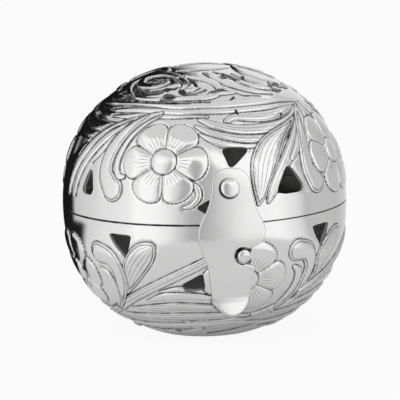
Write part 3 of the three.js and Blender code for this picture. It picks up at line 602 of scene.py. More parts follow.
def new_object(name, mesh):
    piece = bpy.data.objects.new(name, mesh)
    bpy.context.scene.collection.objects.link(piece)
    return piece


def mesh_of(bm):
    mesh = bpy.data.meshes.new("Part")
    bm.to_mesh(mesh)
    bm.free()
    return mesh


def coordinates(mesh):
    flat = np.empty(len(mesh.vertices) * 3)
    mesh.vertices.foreach_get("co", flat)
    return flat.reshape(-1, 3)


def set_coordinates(mesh, points):
    mesh.vertices.foreach_set("co", np.ascontiguousarray(points, np.float32).ravel())
    mesh.update()


def cut(mesh, *tools):
    """The mesh with the tools' meshes cut away."""
    target = new_object("Cutting", mesh)
    helpers = [target]
    for tool in tools:
        helper = new_object("Cutter", tool)
        helpers.append(helper)
        boolean = target.modifiers.new("Cut", "BOOLEAN")
        boolean.operation = "DIFFERENCE"
        boolean.solver = "MANIFOLD"
        boolean.object = helper
    graph = bpy.context.evaluated_depsgraph_get()
    result = bpy.data.meshes.new_from_object(target.evaluated_get(graph))
    for helper in helpers:
        bpy.data.objects.remove(helper)
    return result


def write_values(mesh, name, values):
    """An attribute of one number or one vector for each vertex, which the shaders read."""
    values = values.astype(np.float32)
    if values.ndim == 1:
        mesh.attributes.new(name, "FLOAT", "POINT").data.foreach_set("value", values)
    else:
        mesh.attributes.new(name, "FLOAT_VECTOR", "POINT").data.foreach_set("vector", values.ravel())


def shade(mesh, angle):
    """Smooth shading, with the edges sharper than an angle in degrees left sharp."""
    mesh.shade_smooth()
    mesh.set_sharp_from_angle(angle=angle * DEGREES)


def finish_piece(name, mesh, material, body, slot, *nodes):
    mesh.materials.clear()
    mesh.materials.append(material)
    mesh.name = name
    piece = new_object(name, mesh)
    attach(piece, body)
    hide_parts(*nodes)
    return piece


def bisect(bm, place, normal, **options):
    """Cuts everything by a plane."""
    bmesh.ops.bisect_plane(
        bm, geom=bm.verts[:] + bm.edges[:] + bm.faces[:], plane_co=place, plane_no=normal, **options
    )


def spun(profile, steps, rounding=0.0, place=None):
    """A profile of (radius, height) pairs in millimetres, turned about Z, then put in place."""
    bm = bmesh.new()
    verts = [bm.verts.new((radius, 0, height)) for radius, height in profile]
    for pair in zip(verts, verts[1:]):
        bm.edges.new(pair)
    if math.dist(profile[0], profile[-1]) > 1e-6 and min(profile[0][0], profile[-1][0]) > 1e-6:
        bm.edges.new((verts[-1], verts[0]))
    if rounding:
        inner = [v for v in verts if v.co.x > 1e-6 and len(v.link_edges) == 2]
        bmesh.ops.bevel(
            bm, geom=inner, offset=rounding, segments=3, profile=0.5, affect="VERTICES", material=-1
        )
    bmesh.ops.spin(
        bm, geom=bm.verts[:] + bm.edges[:], cent=(0, 0, 0), axis=(0, 0, 1), angle=2 * math.pi,
        steps=steps, use_merge=True, use_duplicate=False
    )
    bmesh.ops.remove_doubles(bm, verts=bm.verts, dist=1e-5)
    bmesh.ops.recalc_face_normals(bm, faces=bm.faces)
    if place is not None:
        bmesh.ops.transform(bm, matrix=place, verts=bm.verts)
    return bm


def standing_at(longitude, latitude):
    """Puts the Z axis along the outward direction at a place of the ball, from its middle."""
    out = Vector(toward(longitude, latitude))
    seam = Vector((0, 0, settings().ball.seam / MM))
    return Matrix.Translation(seam) @ out.to_track_quat("Z", "Y").to_matrix().to_4x4()


def lying_across(middle):
    """Puts the Z axis along X, through a place."""
    return Matrix.Translation(middle) @ Matrix.Rotation(math.pi / 2, 4, "Y")


def shade_painted(mesh, amounts):
    """Painted shade on each vertex, from none at 0 to full at 1."""
    write_values(mesh, "shade_paint", np.clip(amounts, 0, 1))


def shaded_under_head(mesh, head):
    """Painted shade on everything below a head, whose underside is this far from the ball's middle."""
    middle = np.array((0, 0, settings().ball.seam / MM))
    shade_painted(mesh, (head + 0.16 - np.linalg.norm(coordinates(mesh) - middle, axis=1)) / 0.06)


def to_metres(mesh):
    set_coordinates(mesh, coordinates(mesh) * MM)
    return mesh


def half_ball(side, fineness, level):
    """Half of a unit ball of even triangles, closed by a flat face."""
    bm = bmesh.new()
    bmesh.ops.create_icosphere(bm, subdivisions=fineness, radius=1.0)
    bisect(bm, (0, 0, side * level), (0, 0, side), dist=1e-6, clear_inner=True)
    bmesh.ops.edgeloop_fill(bm, edges=[edge for edge in bm.edges if edge.is_boundary])
    bmesh.ops.recalc_face_normals(bm, faces=bm.faces)
    return mesh_of(bm)


def unit(points):
    return points / np.linalg.norm(points, axis=1, keepdims=True)


def refined(mesh, side, reach):
    """The mesh with its edges halved where a chased line runs within reach."""
    near = chased(unit(coordinates(mesh)), side).edge < reach
    bm = bmesh.new()
    bm.from_mesh(mesh)
    edges = [edge for edge in bm.edges if near[edge.verts[0].index] and near[edge.verts[1].index]]
    bmesh.ops.subdivide_edges(bm, edges=edges, cuts=1)
    bmesh.ops.triangulate(bm, faces=[face for face in bm.faces if len(face.verts) > 3])
    return mesh_of(bm)


def flatten_foot(points, depth):
    """Presses the underside flat at a depth below the seam, with a softly rounded edge."""
    softness = 0.12
    above = (points[:, 2] + depth) / softness
    pressed = softness * np.logaddexp(0, np.clip(above, -60, 400)) - depth
    points[:, 2] = np.where(above < 30, pressed, points[:, 2])
    return points


def prism(corners, rounding, turn):
    """A tool for one piercing: its rounded outline drawn out through the wall."""
    lon, lat = np.array(corners, float).T
    outline = toward(lon + turn, lat)
    outline = outline * ball_radius(outline)[:, None]
    middle = outline.mean(0)
    middle /= np.linalg.norm(middle)
    frame_of = Vector(middle).to_track_quat("Z", "Y").to_matrix()
    flat = [frame_of.transposed() @ Vector(point) for point in outline]
    height = sum(point.z for point in flat) / len(flat)
    bm = bmesh.new()
    loop = []
    for i, corner in enumerate(flat):
        before, after = flat[i - 1], flat[(i + 1) % len(flat)]
        enter, leave = corner.lerp(before, rounding), corner.lerp(after, rounding)
        for t in np.linspace(0, 1, 7):
            point = enter.lerp(corner, t).lerp(corner.lerp(leave, t), t)
            loop.append(bm.verts.new((point.x, point.y, height - PIERCING_REACH)))
    bm.faces.new(loop)
    bmesh.ops.remove_doubles(bm, verts=bm.verts, dist=1e-4)
    drawn = bmesh.ops.extrude_face_region(bm, geom=bm.faces[:])
    top = [item for item in drawn["geom"] if isinstance(item, bmesh.types.BMVert)]
    bmesh.ops.translate(bm, verts=top, vec=(0, 0, 2 * PIERCING_REACH))
    bmesh.ops.recalc_face_normals(bm, faces=bm.faces)
    bmesh.ops.transform(bm, matrix=frame_of.to_4x4(), verts=bm.verts)
    return bm


def merged(parts):
    """One mesh from several bmeshes."""
    whole = bmesh.new()
    for part in parts:
        mesh = mesh_of(part)
        whole.from_mesh(mesh)
        bpy.data.meshes.remove(mesh)
    return mesh_of(whole)


def rod(radius, low, high, steps=48, place=None):
    """A solid round rod along Z, for cutting holes."""
    return spun([(0, low), (radius, low), (radius, high), (0, high)], steps=steps, place=place)


def hinge_trough():
    """A tool for the hollow that the knuckles lie in, at the height of the seam."""
    place = lying_across((0, hinge_out(), 0))
    return rod(TROUGH_RADIUS, -TROUGH_REACH, TROUGH_REACH, steps=64, place=place)


def shell_tools(side):
    """The tools for the piercings, the hole of the rivet or the stud, and the hinge's hollow. Their
    heights count from the middle of the ball."""
    holes, turns = (LID_HOLES, HALVES) if side > 0 else (BASE_HOLES, QUARTERS)
    tools = [prism(corners, rounding, turn) for corners, rounding in holes for turn in turns]
    down = Matrix.Translation((0, 0, -settings().ball.seam / MM))
    if side > 0:
        tools.append(prism(*HOLE_BEHIND_HOOK, PATTERN_TURN))
        tools.append(rod(RIVET_HOLE, *BORED, place=down @ standing_at(0, rivet_latitude())))
    else:
        tools.append(rod(STUD_HOLE, *BORED, place=down @ standing_at(*stud_place())))
    tools.append(hinge_trough())
    return tools


def sheet_face(side, mesh, inset, share, foot):
    """Brings half of a unit ball to the outer or the inner face of the chased sheet."""
    directions = unit(coordinates(mesh))
    relief = chased(directions, side).height * share
    points = directions * (ball_radius(directions, inset) + relief)[:, None]
    set_coordinates(mesh, flatten_foot(points, foot) if side < 0 else points)
    return mesh


def dullness(side, points, directions, work):
    """1 on the inner face of a shell and 0 on the outer one."""
    depth, wall = settings().ball.seam / MM, settings().ball.wall / MM
    low = ball_radius(directions, wall) + INNER_SHARE * work.height
    high = ball_radius(directions) + work.height
    share = (np.linalg.norm(points, axis=1) - low) / (high - low)
    inside = np.clip(1.3 - share / 0.35, 0, 1)
    if side < 0:
        above_foot = points[:, 2] + depth
        floor = (above_foot > wall * 0.5) & (above_foot < wall + 0.5)
        inside = np.where(np.hypot(points[:, 0], points[:, 1]) < 12, floor, inside)
        inside = np.where(above_foot < 0.5, 0, inside)
    return inside


def build_shell(side):
    """One pierced and chased half of the ball: the lid (side 1) or the base (side -1)."""
    ball = settings().ball
    depth, wall = ball.seam / MM, ball.wall / MM
    outer = half_ball(side, ball.fineness, ball.seam_gap / 2 / ball.radius)
    for reach in REFINED_WITHIN:
        outer = refined(outer, side, reach)
    outer = sheet_face(side, outer, inset=0.0, share=1.0, foot=depth)
    inner = half_ball(side, min(ball.fineness, 6), -PAST_SEAM)
    inner = sheet_face(side, inner, inset=wall, share=INNER_SHARE, foot=depth - wall)
    shell = cut(outer, inner, merged(shell_tools(side)))
    points = coordinates(shell)
    directions = unit(points)
    work = chased(directions, side)
    for name in ("edge", "ink", "reeds", "rim", "worked", "line"):
        write_values(shell, name, getattr(work, name))
    write_values(shell, "inside", dullness(side, points, directions, work))
    set_coordinates(shell, points + np.array((0, 0, depth)))
    shade(shell, 55)
    return to_metres(shell)


def hook_outer():
    """Distance from the middle of the ball to the hook's outer face, in millimetres."""
    hook = settings().hook
    return (settings().ball.radius + hook.stand_off + hook.thickness) / MM


def rivet_latitude():
    """Latitude of the rivet in degrees, on the hook's outer face."""
    return math.asin(settings().hook.pivot / MM / hook_outer()) / DEGREES


def stud_place():
    """Longitude and latitude of the stud, from its box in the frame."""
    low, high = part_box("catch_stud")
    middle = (low + high) / 2 - Vector((0, 0, settings().ball.seam))
    return math.atan2(middle.x, -middle.y) / DEGREES, math.asin(middle.z / middle.length) / DEGREES


def hinge_out():
    """Distance from the middle of the ball to the hinge's axis, from the frame."""
    low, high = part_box("base_knuckle_middle")
    return (low.y + high.y) / 2 / MM


# Hook

# The outline as seen from the front: places on the right side, from the top to the tip
HOOK_SIDES = [
    (2.87, 12.9), (4.31, 11.4), (4.95, 7.4), (6.23, 3.4), (7.87, -0.1), (8.2, -2.5), (7.46, -5.7),
    (5.66, -10.55), (4.95, -15.4), (4.31, -18.5), (3.17, -20.5), (1.58, -21.75),
]
HOOK_TOP, HOOK_TIP, HOOK_OFFSET, HOOK_WIDEST = 13.5, -22.1, 0.4, 8.2
# The notch: its round end about the stud, its mouth on the stud's path and its lower corner
STUD_GAP, NOTCH_RADIUS, NOTCH_ROOM = 1.05, 2.05, 1.2
NOTCH_TURNS, NOTCH_DROP = (76, 115, 150, 180, 215, 250, 288), 0.3
NOTCH_MOUTH, NOTCH_EXIT, CORNER_ROOM = (7.85, 4.24), (5.65, 3.13), 0.6
# The middle line runs past both ends of the hook
LINE_TOP, LINE_PAST_FLARE, LINE_STEPS = 20, 8, 2400
# Strips that the flat hook is cut into before it is bent, along and across
STRIP, STRIPS_ALONG, STRIPS_ACROSS = 0.75, (-26, 16), (-9, 9)


def hook_profile():
    """Middle line of the hook in side view: distance along it, place out and up, and slope."""
    hook = settings().hook
    radius = (settings().ball.radius + hook.stand_off + hook.thickness / 2) / MM
    bend_end = hook.straight_from * radius
    drop = (hook.flare_from / MM - radius * math.sin(hook.straight_from)) / math.cos(hook.straight_from)
    flare_start = bend_end + drop
    along = np.linspace(LINE_TOP, flare_start - LINE_PAST_FLARE, LINE_STEPS)
    slope = np.where(along > bend_end, along / radius, hook.straight_from)
    bent = np.clip((flare_start - along) * MM / hook.flare_bend, 0, hook.flare_turn)
    slope = slope + bent
    step = along[0] - along[1]
    out, up = -np.sin(slope), np.cos(slope)
    places = np.column_stack([np.cumsum(out * -step), np.cumsum(up * -step)])
    start = np.array([math.cos(along[0] / radius), math.sin(along[0] / radius)]) * radius
    return along, places + start, slope


def hook_outline(along, height):
    """Knots of the flat hook's outline, each with whether it is a sharp corner."""
    hook = settings().hook
    pivot = hook.pivot / MM
    stud_x, stud_z = (toward(*stud_place()) * (hook_outer() + STUD_GAP))[[0, 2]]

    def sheet(x, z):
        """From front view to the flat sheet: x, and distance along the middle line."""
        return x, float(np.interp(-z, -height, along))

    def flat(x, z):
        """The same for the hook's own outline, which leans about the rivet."""
        across, above = x + HOOK_OFFSET, z - pivot
        leaning = across * math.cos(hook.lean) + above * math.sin(hook.lean)
        return sheet(leaning, above * math.cos(hook.lean) - across * math.sin(hook.lean) + pivot)

    right = [flat(x, z) for x, z in HOOK_SIDES]
    left = [flat(-x, z) for x, z in reversed(HOOK_SIDES)]
    swing = math.hypot(stud_x, pivot - stud_z)
    mouth = [sheet(x, pivot - math.sqrt(swing**2 - x**2) + NOTCH_ROOM) for x in NOTCH_MOUTH]
    round_end = [
        sheet(
            stud_x + NOTCH_RADIUS * math.cos(turn),
            stud_z - NOTCH_DROP + NOTCH_RADIUS * math.sin(turn)
        )
        for turn in np.radians(NOTCH_TURNS)
    ]
    lower_corner = sheet(NOTCH_EXIT[0], stud_z - NOTCH_EXIT[1])
    above_mouth = [p for p in right if p[1] > mouth[0][1] + CORNER_ROOM]
    below_mouth = [p for p in right if p[1] < lower_corner[1] - CORNER_ROOM]
    knots = [flat(0, HOOK_TOP), *above_mouth, *mouth, *round_end, lower_corner, *below_mouth,
             flat(0, HOOK_TIP), *left]
    return [(knot, knot in (mouth[0], lower_corner)) for knot in knots]


def closed_spline(curve, knots):
    """Adds a closed line through knots of a place and whether it is a sharp corner there."""
    spline = curve.splines.new("BEZIER")
    spline.bezier_points.add(len(knots) - 1)
    spline.use_cyclic_u = True
    for knot, (place, corner) in zip(spline.bezier_points, knots):
        knot.co = (*place, 0)
        knot.handle_left_type = knot.handle_right_type = "VECTOR" if corner else "AUTO"


def flat_hook(outline):
    """The hook before it is bent, with its rounded edge and the hole for the rivet."""
    ball, hook = settings().ball, settings().hook
    curve = bpy.data.curves.new("Hook", "CURVE")
    curve.dimensions = "2D"
    curve.fill_mode = "BOTH"
    curve.extrude = hook.thickness / MM / 2 - hook.rounding / MM
    curve.bevel_depth = hook.rounding / MM
    curve.bevel_resolution = 3
    curve.resolution_u = 8
    curve.offset = -hook.rounding / MM
    closed_spline(curve, outline)
    centre = rivet_latitude() * DEGREES * (ball.radius + hook.stand_off) / MM
    turns = [turn * DEGREES for turn in (0, 90, 180, 270)]
    closed_spline(curve, [
        ((PIVOT_HOLE * math.cos(turn), centre + PIVOT_HOLE * math.sin(turn)), False) for turn in turns
    ])
    drawn = new_object("Hook outline", curve)
    graph = bpy.context.evaluated_depsgraph_get()
    mesh = bpy.data.meshes.new_from_object(drawn.evaluated_get(graph))
    bpy.data.objects.remove(drawn)
    bm = bmesh.new()
    bm.from_mesh(mesh)
    bmesh.ops.remove_doubles(bm, verts=bm.verts, dist=1e-4)
    for place in np.arange(*STRIPS_ALONG, STRIP):
        bisect(bm, (0, place, 0), (0, 1, 0), dist=1e-4)
    for place in np.arange(*STRIPS_ACROSS, STRIP):
        bisect(bm, (place, 0, 0), (1, 0, 0), dist=1e-4)
    bmesh.ops.triangulate(bm, faces=[face for face in bm.faces if len(face.verts) > 4])
    bmesh.ops.recalc_face_normals(bm, faces=bm.faces)
    return mesh_of(bm)


def build_hook():
    """The hook, cut flat, crowned and bent along its middle line."""
    hook = settings().hook
    along, places, slope = hook_profile()
    mesh = flat_hook(hook_outline(along, places[:, 1]))
    across, distance, thick = coordinates(mesh).T
    order = np.argsort(along)
    angle, out, up = (
        np.interp(distance, along[order], values[order])
        for values in (slope, places[:, 0], places[:, 1])
    )
    thick = thick - hook.crown / MM * (across / HOOK_WIDEST) ** 2
    set_coordinates(mesh, np.column_stack([
        across,
        -(out + thick * np.cos(angle)),
        up + thick * np.sin(angle) + settings().ball.seam / MM,
    ]))
    bm = bmesh.new()
    bm.from_mesh(mesh)
    bmesh.ops.recalc_face_normals(bm, faces=bm.faces)
    bm.to_mesh(mesh)
    bm.free()
    shade(mesh, 40)
    return to_metres(mesh)


# Materials


def nodes_of(tree):
    """Short ways to add to a node tree: any node, a math node, a map range and a mix of colours."""

    def add(kind, **inputs):
        node = tree.nodes.new(kind)
        for name, value in inputs.items():
            if hasattr(node, name):
                setattr(node, name, value)
                continue
            key = int(name[1:]) if name[0] == "i" and name[1:].isdigit() else name.replace("_", " ")
            socket = node.inputs[key]
            if isinstance(value, bpy.types.NodeSocket):
                tree.links.new(value, socket)
            else:
                socket.default_value = value
        return node

    def calc(operation, *values):
        inputs = {f"i{i}": value for i, value in enumerate(values)}
        return add("ShaderNodeMath", operation=operation, **inputs).outputs[0]

    def ramp(value, start, end, low, high, kind="LINEAR"):
        return add(
            "ShaderNodeMapRange", interpolation_type=kind, Value=value, i1=start, i2=end, i3=low, i4=high
        ).outputs[0]

    def mix(share, one, other):
        """From one colour to the other, each a socket or a red, green and blue."""
        ends = [end if isinstance(end, bpy.types.NodeSocket) else (*end, 1) for end in (one, other)]
        return add("ShaderNodeMix", data_type="RGBA", Factor=share, i6=ends[0], i7=ends[1]).outputs[2]

    return add, calc, ramp, mix


def group(name, inputs, output_names):
    """A new group and its input and output sockets. An input without a default is a vector."""
    tree = bpy.data.node_groups.new(name, "ShaderNodeTree")
    for label, default in inputs.items():
        kind = "NodeSocketVector" if default is None else "NodeSocketFloat"
        socket = tree.interface.new_socket(label, in_out="INPUT", socket_type=kind)
        if default is not None:
            socket.default_value = default
    for label in output_names:
        tree.interface.new_socket(label, in_out="OUTPUT", socket_type="NodeSocketFloat")
    return tree, tree.nodes.new("NodeGroupInput").outputs, tree.nodes.new("NodeGroupOutput").inputs


def wear_group():
    """Hairline scratches and a faint handling haze on polished metal."""
    if "Handling Wear" in bpy.data.node_groups:
        return bpy.data.node_groups["Handling Wear"]
    tree, given, result = group(
        "Handling Wear", {"Vector": None, "Scratches": 0.5, "Haze": 0.05, "Polish": 0.07},
        ("Roughness", "Height"),
    )
    add, calc, ramp, _ = nodes_of(tree)
    haze = add("ShaderNodeTexNoise", Vector=given["Vector"], Scale=90.0, Detail=4.0)
    stretch = add(
        "ShaderNodeMapping", Vector=given["Vector"], Scale=(420, 420, 5200), Rotation=(0.5, 0.35, 0)
    )
    hair = add("ShaderNodeTexNoise", Vector=stretch.outputs[0], Scale=1.0, Detail=2.0)
    scratch = calc("MULTIPLY", ramp(hair.outputs[0], 0.62, 0.72, 0.0, 1.0), given["Scratches"])
    rough = calc("ADD", calc("MULTIPLY", haze.outputs[0], given["Haze"]), given["Polish"])
    tree.links.new(calc("MULTIPLY_ADD", scratch, 0.12, rough), result["Roughness"])
    tree.links.new(scratch, result["Height"])
    return tree


def painted_shade_near():
    """Painted shade, full within the first distance of a place and none beyond the second."""
    if "Shade Near" in bpy.data.node_groups:
        return bpy.data.node_groups["Shade Near"]
    tree, given, result = group(
        "Shade Near",
        {"Vector": None, "Centre": None, "Full Within": 0.001, "None Beyond": 0.002}, ("Dirt",),
    )
    add, _, ramp, _ = nodes_of(tree)
    away = add("ShaderNodeVectorMath", operation="DISTANCE", i0=given["Vector"], i1=given["Centre"])
    within, beyond = given["Full Within"], given["None Beyond"]
    tree.links.new(ramp(away.outputs["Value"], within, beyond, 1.0, 0.0, "SMOOTHSTEP"), result["Dirt"])
    return tree


def painted_shade_spot(add, place, where, out, reach):
    """Painted shade round a place given by longitude, latitude and distance from the middle of the ball.
    """
    centre = Vector((0, 0, settings().ball.seam)) + Vector(toward(*where)) * out
    return add(
        "ShaderNodeGroup", node_tree=painted_shade_near(), Vector=place, Centre=centre,
        Full_Within=reach[0] * MM, None_Beyond=reach[1] * MM
    ).outputs[0]


def hook_painted_shade(tree, place):
    """Painted shade in a thin ring round the rivet head, thicker at its lower left, and on the plate's
    side faces: full by the notch, less elsewhere.
    """
    add, calc, ramp, _ = nodes_of(tree)
    out = hook_outer() * MM
    # Painted shade round the rivet head, thicker at its lower left like a shadow: the ring's centre lies
    # a little left of and below the rivet
    ring = painted_shade_spot(add, place, (-0.35, rivet_latitude() - 0.25), out, (2.34, 2.75))
    shade_by_stud = painted_shade_spot(add, place, stud_place(), out, (2.9, 3.3))
    # Painted shade on the plate's side faces, full near the stud
    facing = add("ShaderNodeSeparateXYZ", Vector=add("ShaderNodeTexCoord").outputs["Normal"])
    shaded_walls = ramp(calc("ABSOLUTE", facing.outputs["Y"]), 0.35, 0.75, 1.0, 0.0)
    return calc("MAXIMUM", ring, calc("MULTIPLY", calc("MAXIMUM", shade_by_stud, 0.6), shaded_walls))


def chased_lines():
    """Oxide in the outlines, in the line that follows them inside, and in the lengthwise lines."""
    tree, given, result = group(
        "Chased Lines",
        {"Edge": 9.0, "Ink": 0.0, "Rim": 0.0, "Reeds": 0.0, "Phase": 0.0, "Half Width": 0.12},
        ("Oxide",),
    )
    _, calc, ramp, _ = nodes_of(tree)

    def line_at(distance, strength):
        widths = calc("DIVIDE", distance, given["Half Width"])
        return calc("MULTIPLY", ramp(widths, 0.3, 2.1, 1.0, 0.0, "SMOOTHSTEP"), strength)

    outline = line_at(given["Edge"], given["Ink"])
    rim = line_at(calc("ABSOLUTE", calc("SUBTRACT", given["Edge"], RIM_INSIDE)), given["Rim"])
    wave = calc("COSINE", calc("MULTIPLY", given["Phase"], 2 * math.pi))
    valley = calc("MAXIMUM", calc("MULTIPLY", wave, -1.0), 0.0)
    reeds = calc("MULTIPLY", calc("POWER", valley, 7.0), given["Reeds"])
    tree.links.new(calc("MAXIMUM", calc("MAXIMUM", outline, rim), reeds), result["Oxide"])
    return tree


def cleared(owner, output):
    """Empties the node tree of a material or a world: the tree, and its new output's surface socket."""
    owner.use_nodes = True
    tree = owner.node_tree
    tree.nodes.clear()
    return tree, tree.nodes.new(output).inputs[0]


def metal(name):
    """A metal: its material, tree and shader, and the place on the object."""
    material = bpy.data.materials.new(name)
    tree, surface = cleared(material, "ShaderNodeOutputMaterial")
    shader = tree.nodes.new("ShaderNodeBsdfPrincipled")
    shader.inputs["Metallic"].default_value = 1.0
    tree.links.new(shader.outputs[0], surface)
    place = tree.nodes.new("ShaderNodeTexCoord").outputs["Object"]
    return material, tree, shader, place


def oxide_and_painted_shade(tree, place, attribute):
    """Patchy oxide in the chased lines, and patchy painted shade round the stud and in the seam, the
    seam's darker to the left.
    """
    add, calc, ramp, _ = nodes_of(tree)
    ball = settings().ball
    half_width = settings().chasing.fine_line / MM
    lines = add("ShaderNodeGroup", node_tree=chased_lines(), Half_Width=half_width)
    for name in ("Edge", "Ink", "Rim", "Reeds"):
        tree.links.new(attribute(name.lower()), lines.inputs[name])
    along = add("ShaderNodeSeparateXYZ", Vector=attribute("line", "Vector"))
    tree.links.new(along.outputs["Z"], lines.inputs["Phase"])
    # Painted shadow of the hook on the shell round the stud
    shade_by_stud = painted_shade_spot(add, place, stud_place(), ball.radius, (1.9, 2.6))
    # Painted shade in the seam, strong at the left and weak at the right
    where = add("ShaderNodeSeparateXYZ", Vector=place)
    from_seam = calc("ABSOLUTE", calc("SUBTRACT", where.outputs["Z"], ball.seam))
    seam_shade = calc(
        "MULTIPLY", ramp(from_seam, 0.0002, 0.00031, 1.0, 0.0),
        ramp(where.outputs["X"], -0.01, 0.012, 1.0, 0.15)
    )
    oxide_and_shade_marks = calc("MAXIMUM", calc("MAXIMUM", lines.outputs[0], shade_by_stud), seam_shade)
    blotch = add("ShaderNodeTexNoise", Vector=place, Scale=420.0, Detail=3.0)
    return calc("MULTIPLY", oxide_and_shade_marks, ramp(blotch.outputs[0], 0.3, 0.62, 0.55, 1.0))


def tool_marks(tree, place, attribute):
    """The graver's fine lines over the hammer's dents, as a normal."""
    add, calc, ramp, _ = nodes_of(tree)
    worked = attribute("worked")
    slant = add("ShaderNodeVectorMath", operation="DOT_PRODUCT", i0=attribute("line", "Vector"),
                i1=(1.0, 0.75, 0.0))
    wave = calc("SINE", calc("MULTIPLY", slant.outputs["Value"], 13.0))
    fade = add("ShaderNodeTexNoise", Vector=place, Scale=160.0, Detail=1.0)
    hatch = calc("MULTIPLY", calc("MULTIPLY", wave, ramp(fade.outputs[0], 0.45, 0.6, 0.0, 1.0)), worked)
    lines = add("ShaderNodeBump", Height=hatch, Strength=0.5, Distance=settings().finish.hatching)
    dents = add("ShaderNodeTexNoise", Vector=place, Scale=330.0, Detail=1.5)
    beaten = calc("MULTIPLY", dents.outputs[0], calc("MAXIMUM", worked, attribute("inside")))
    return add("ShaderNodeBump", Height=beaten, Strength=0.6, Distance=0.00004, Normal=lines.outputs[0])


def chased_silver():
    """Bright silver with oxide in the chased lines, painted shade in the cuts, round the stud and in the
    seam, graver's marks and a dull inner face.
    """
    finish = settings().finish
    material, tree, shader, place = metal("Chased Silver")
    add, calc, _, mix = nodes_of(tree)

    def attribute(name, output="Fac"):
        return add("ShaderNodeAttribute", attribute_name=name).outputs[output]

    inside, oxide_and_shade = attribute("inside"), oxide_and_painted_shade(tree, place, attribute)
    colour = mix(inside, mix(oxide_and_shade, finish.silver, finish.oxide), finish.inside)
    tree.links.new(colour, shader.inputs["Base Color"])
    tree.links.new(calc("MULTIPLY_ADD", inside, -0.9, 1.0), shader.inputs["Metallic"])
    wear = add(
        "ShaderNodeGroup", node_tree=wear_group(), Vector=place, Scratches=0.25, Haze=0.05,
        Polish=finish.polish
    )
    rough = calc("MULTIPLY_ADD", oxide_and_shade, 0.3, wear.outputs["Roughness"])
    tree.links.new(calc("MULTIPLY_ADD", inside, 0.35, rough), shader.inputs["Roughness"])
    marks = tool_marks(tree, place, attribute)
    fine = add(
        "ShaderNodeBump", Height=wear.outputs["Height"], Strength=0.3, Distance=0.00001,
        Normal=marks.outputs[0]
    )
    tree.links.new(fine.outputs[0], shader.inputs["Normal"])
    return material


def plain_silver(name, colour, polish, scratches, haze, ripple, dirt=None):
    """Silver without chasing, with painted shade where it is given: polished, satin, or the plate of the
    hook.
    """
    material, tree, shader, place = metal(name)
    add, _, ramp, mix = nodes_of(tree)
    wear = add(
        "ShaderNodeGroup", node_tree=wear_group(), Vector=place, Scratches=scratches, Haze=haze,
        Polish=polish
    )
    tone = add("ShaderNodeTexNoise", Vector=place, Scale=150.0, Detail=3.0)
    shades = ramp(tone.outputs[0], 0.3, 0.7, 0.0, 1.0)
    # Painted shade over the colour: from the function given, else from the mesh's painted shade
    # attribute
    if dirt:
        shade_paint = dirt(tree, place)
    else:
        shade_paint = add("ShaderNodeAttribute", attribute_name="shade_paint").outputs["Fac"]
    colours = mix(shade_paint, mix(shades, [0.96 * c for c in colour], colour), settings().finish.shade_paint)
    tree.links.new(colours, shader.inputs["Base Color"])
    tree.links.new(wear.outputs["Roughness"], shader.inputs["Roughness"])
    wobble = add("ShaderNodeTexNoise", Vector=place, Scale=110.0, Detail=1.0)
    soft = add("ShaderNodeBump", Height=wobble.outputs[0], Strength=0.5, Distance=ripple)
    fine = add(
        "ShaderNodeBump", Height=wear.outputs["Height"], Strength=0.4, Distance=0.00001,
        Normal=soft.outputs[0]
    )
    tree.links.new(fine.outputs[0], shader.inputs["Normal"])
    return material


def polished():
    return bpy.data.materials.get("Polished Silver") or plain_silver(
        "Polished Silver", settings().finish.silver, polish=0.06, scratches=0.4, haze=0.04,
        ripple=0.00003
    )


def satin():
    return bpy.data.materials.get("Satin Silver") or plain_silver(
        "Satin Silver", (0.72, 0.71, 0.69), polish=0.28, scratches=0.6, haze=0.12, ripple=0.00003
    )


# Operators


class BALLBOX_OT_shells(bpy.types.Operator):
    """Make the pierced and chased halves of the ball"""

    bl_idname = "ballbox.shells"
    bl_label = "Chased Shells"

    def execute(self, context):
        silver = chased_silver()
        finish_piece("chased_base", build_shell(-1), silver, "base", "silver_chased", "base_shell")
        finish_piece("chased_lid", build_shell(1), silver, "lid", "silver_chased", "lid_shell")
        return {"FINISHED"}


class BALLBOX_OT_bezel(bpy.types.Operator):
    """Turn the guide ring that stands inside the base"""

    bl_idname = "ballbox.bezel"
    bl_label = "Bezel Ring"

    def execute(self, context):
        seam = context.scene.ball_box.ball.seam / MM
        low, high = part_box("bezel_ring")
        bottom, top, outer = low.z / MM - seam, high.z / MM - seam, high.x / MM
        profile = [
            (outer - 1.1, bottom), (outer - 0.3, bottom), (outer, -0.15), (outer, top),
            (outer - 0.9, top),
        ]
        bm = spun(profile, steps=240, rounding=0.2, place=Matrix.Translation((0, 0, seam)))
        mesh = mesh_of(bm)
        shade(mesh, 40)
        # Painted shade on the ring's sides: 0.85 of full up to 0.4 mm below its top, none in the top 0.3
        # mm
        shade_painted(mesh, 0.85 * np.clip((top + seam - 0.3 - coordinates(mesh)[:, 2]) / 0.1, 0, 1))
        finish_piece("guide_ring", to_metres(mesh), satin(), "base", "silver_satin", "bezel_ring")
        return {"FINISHED"}


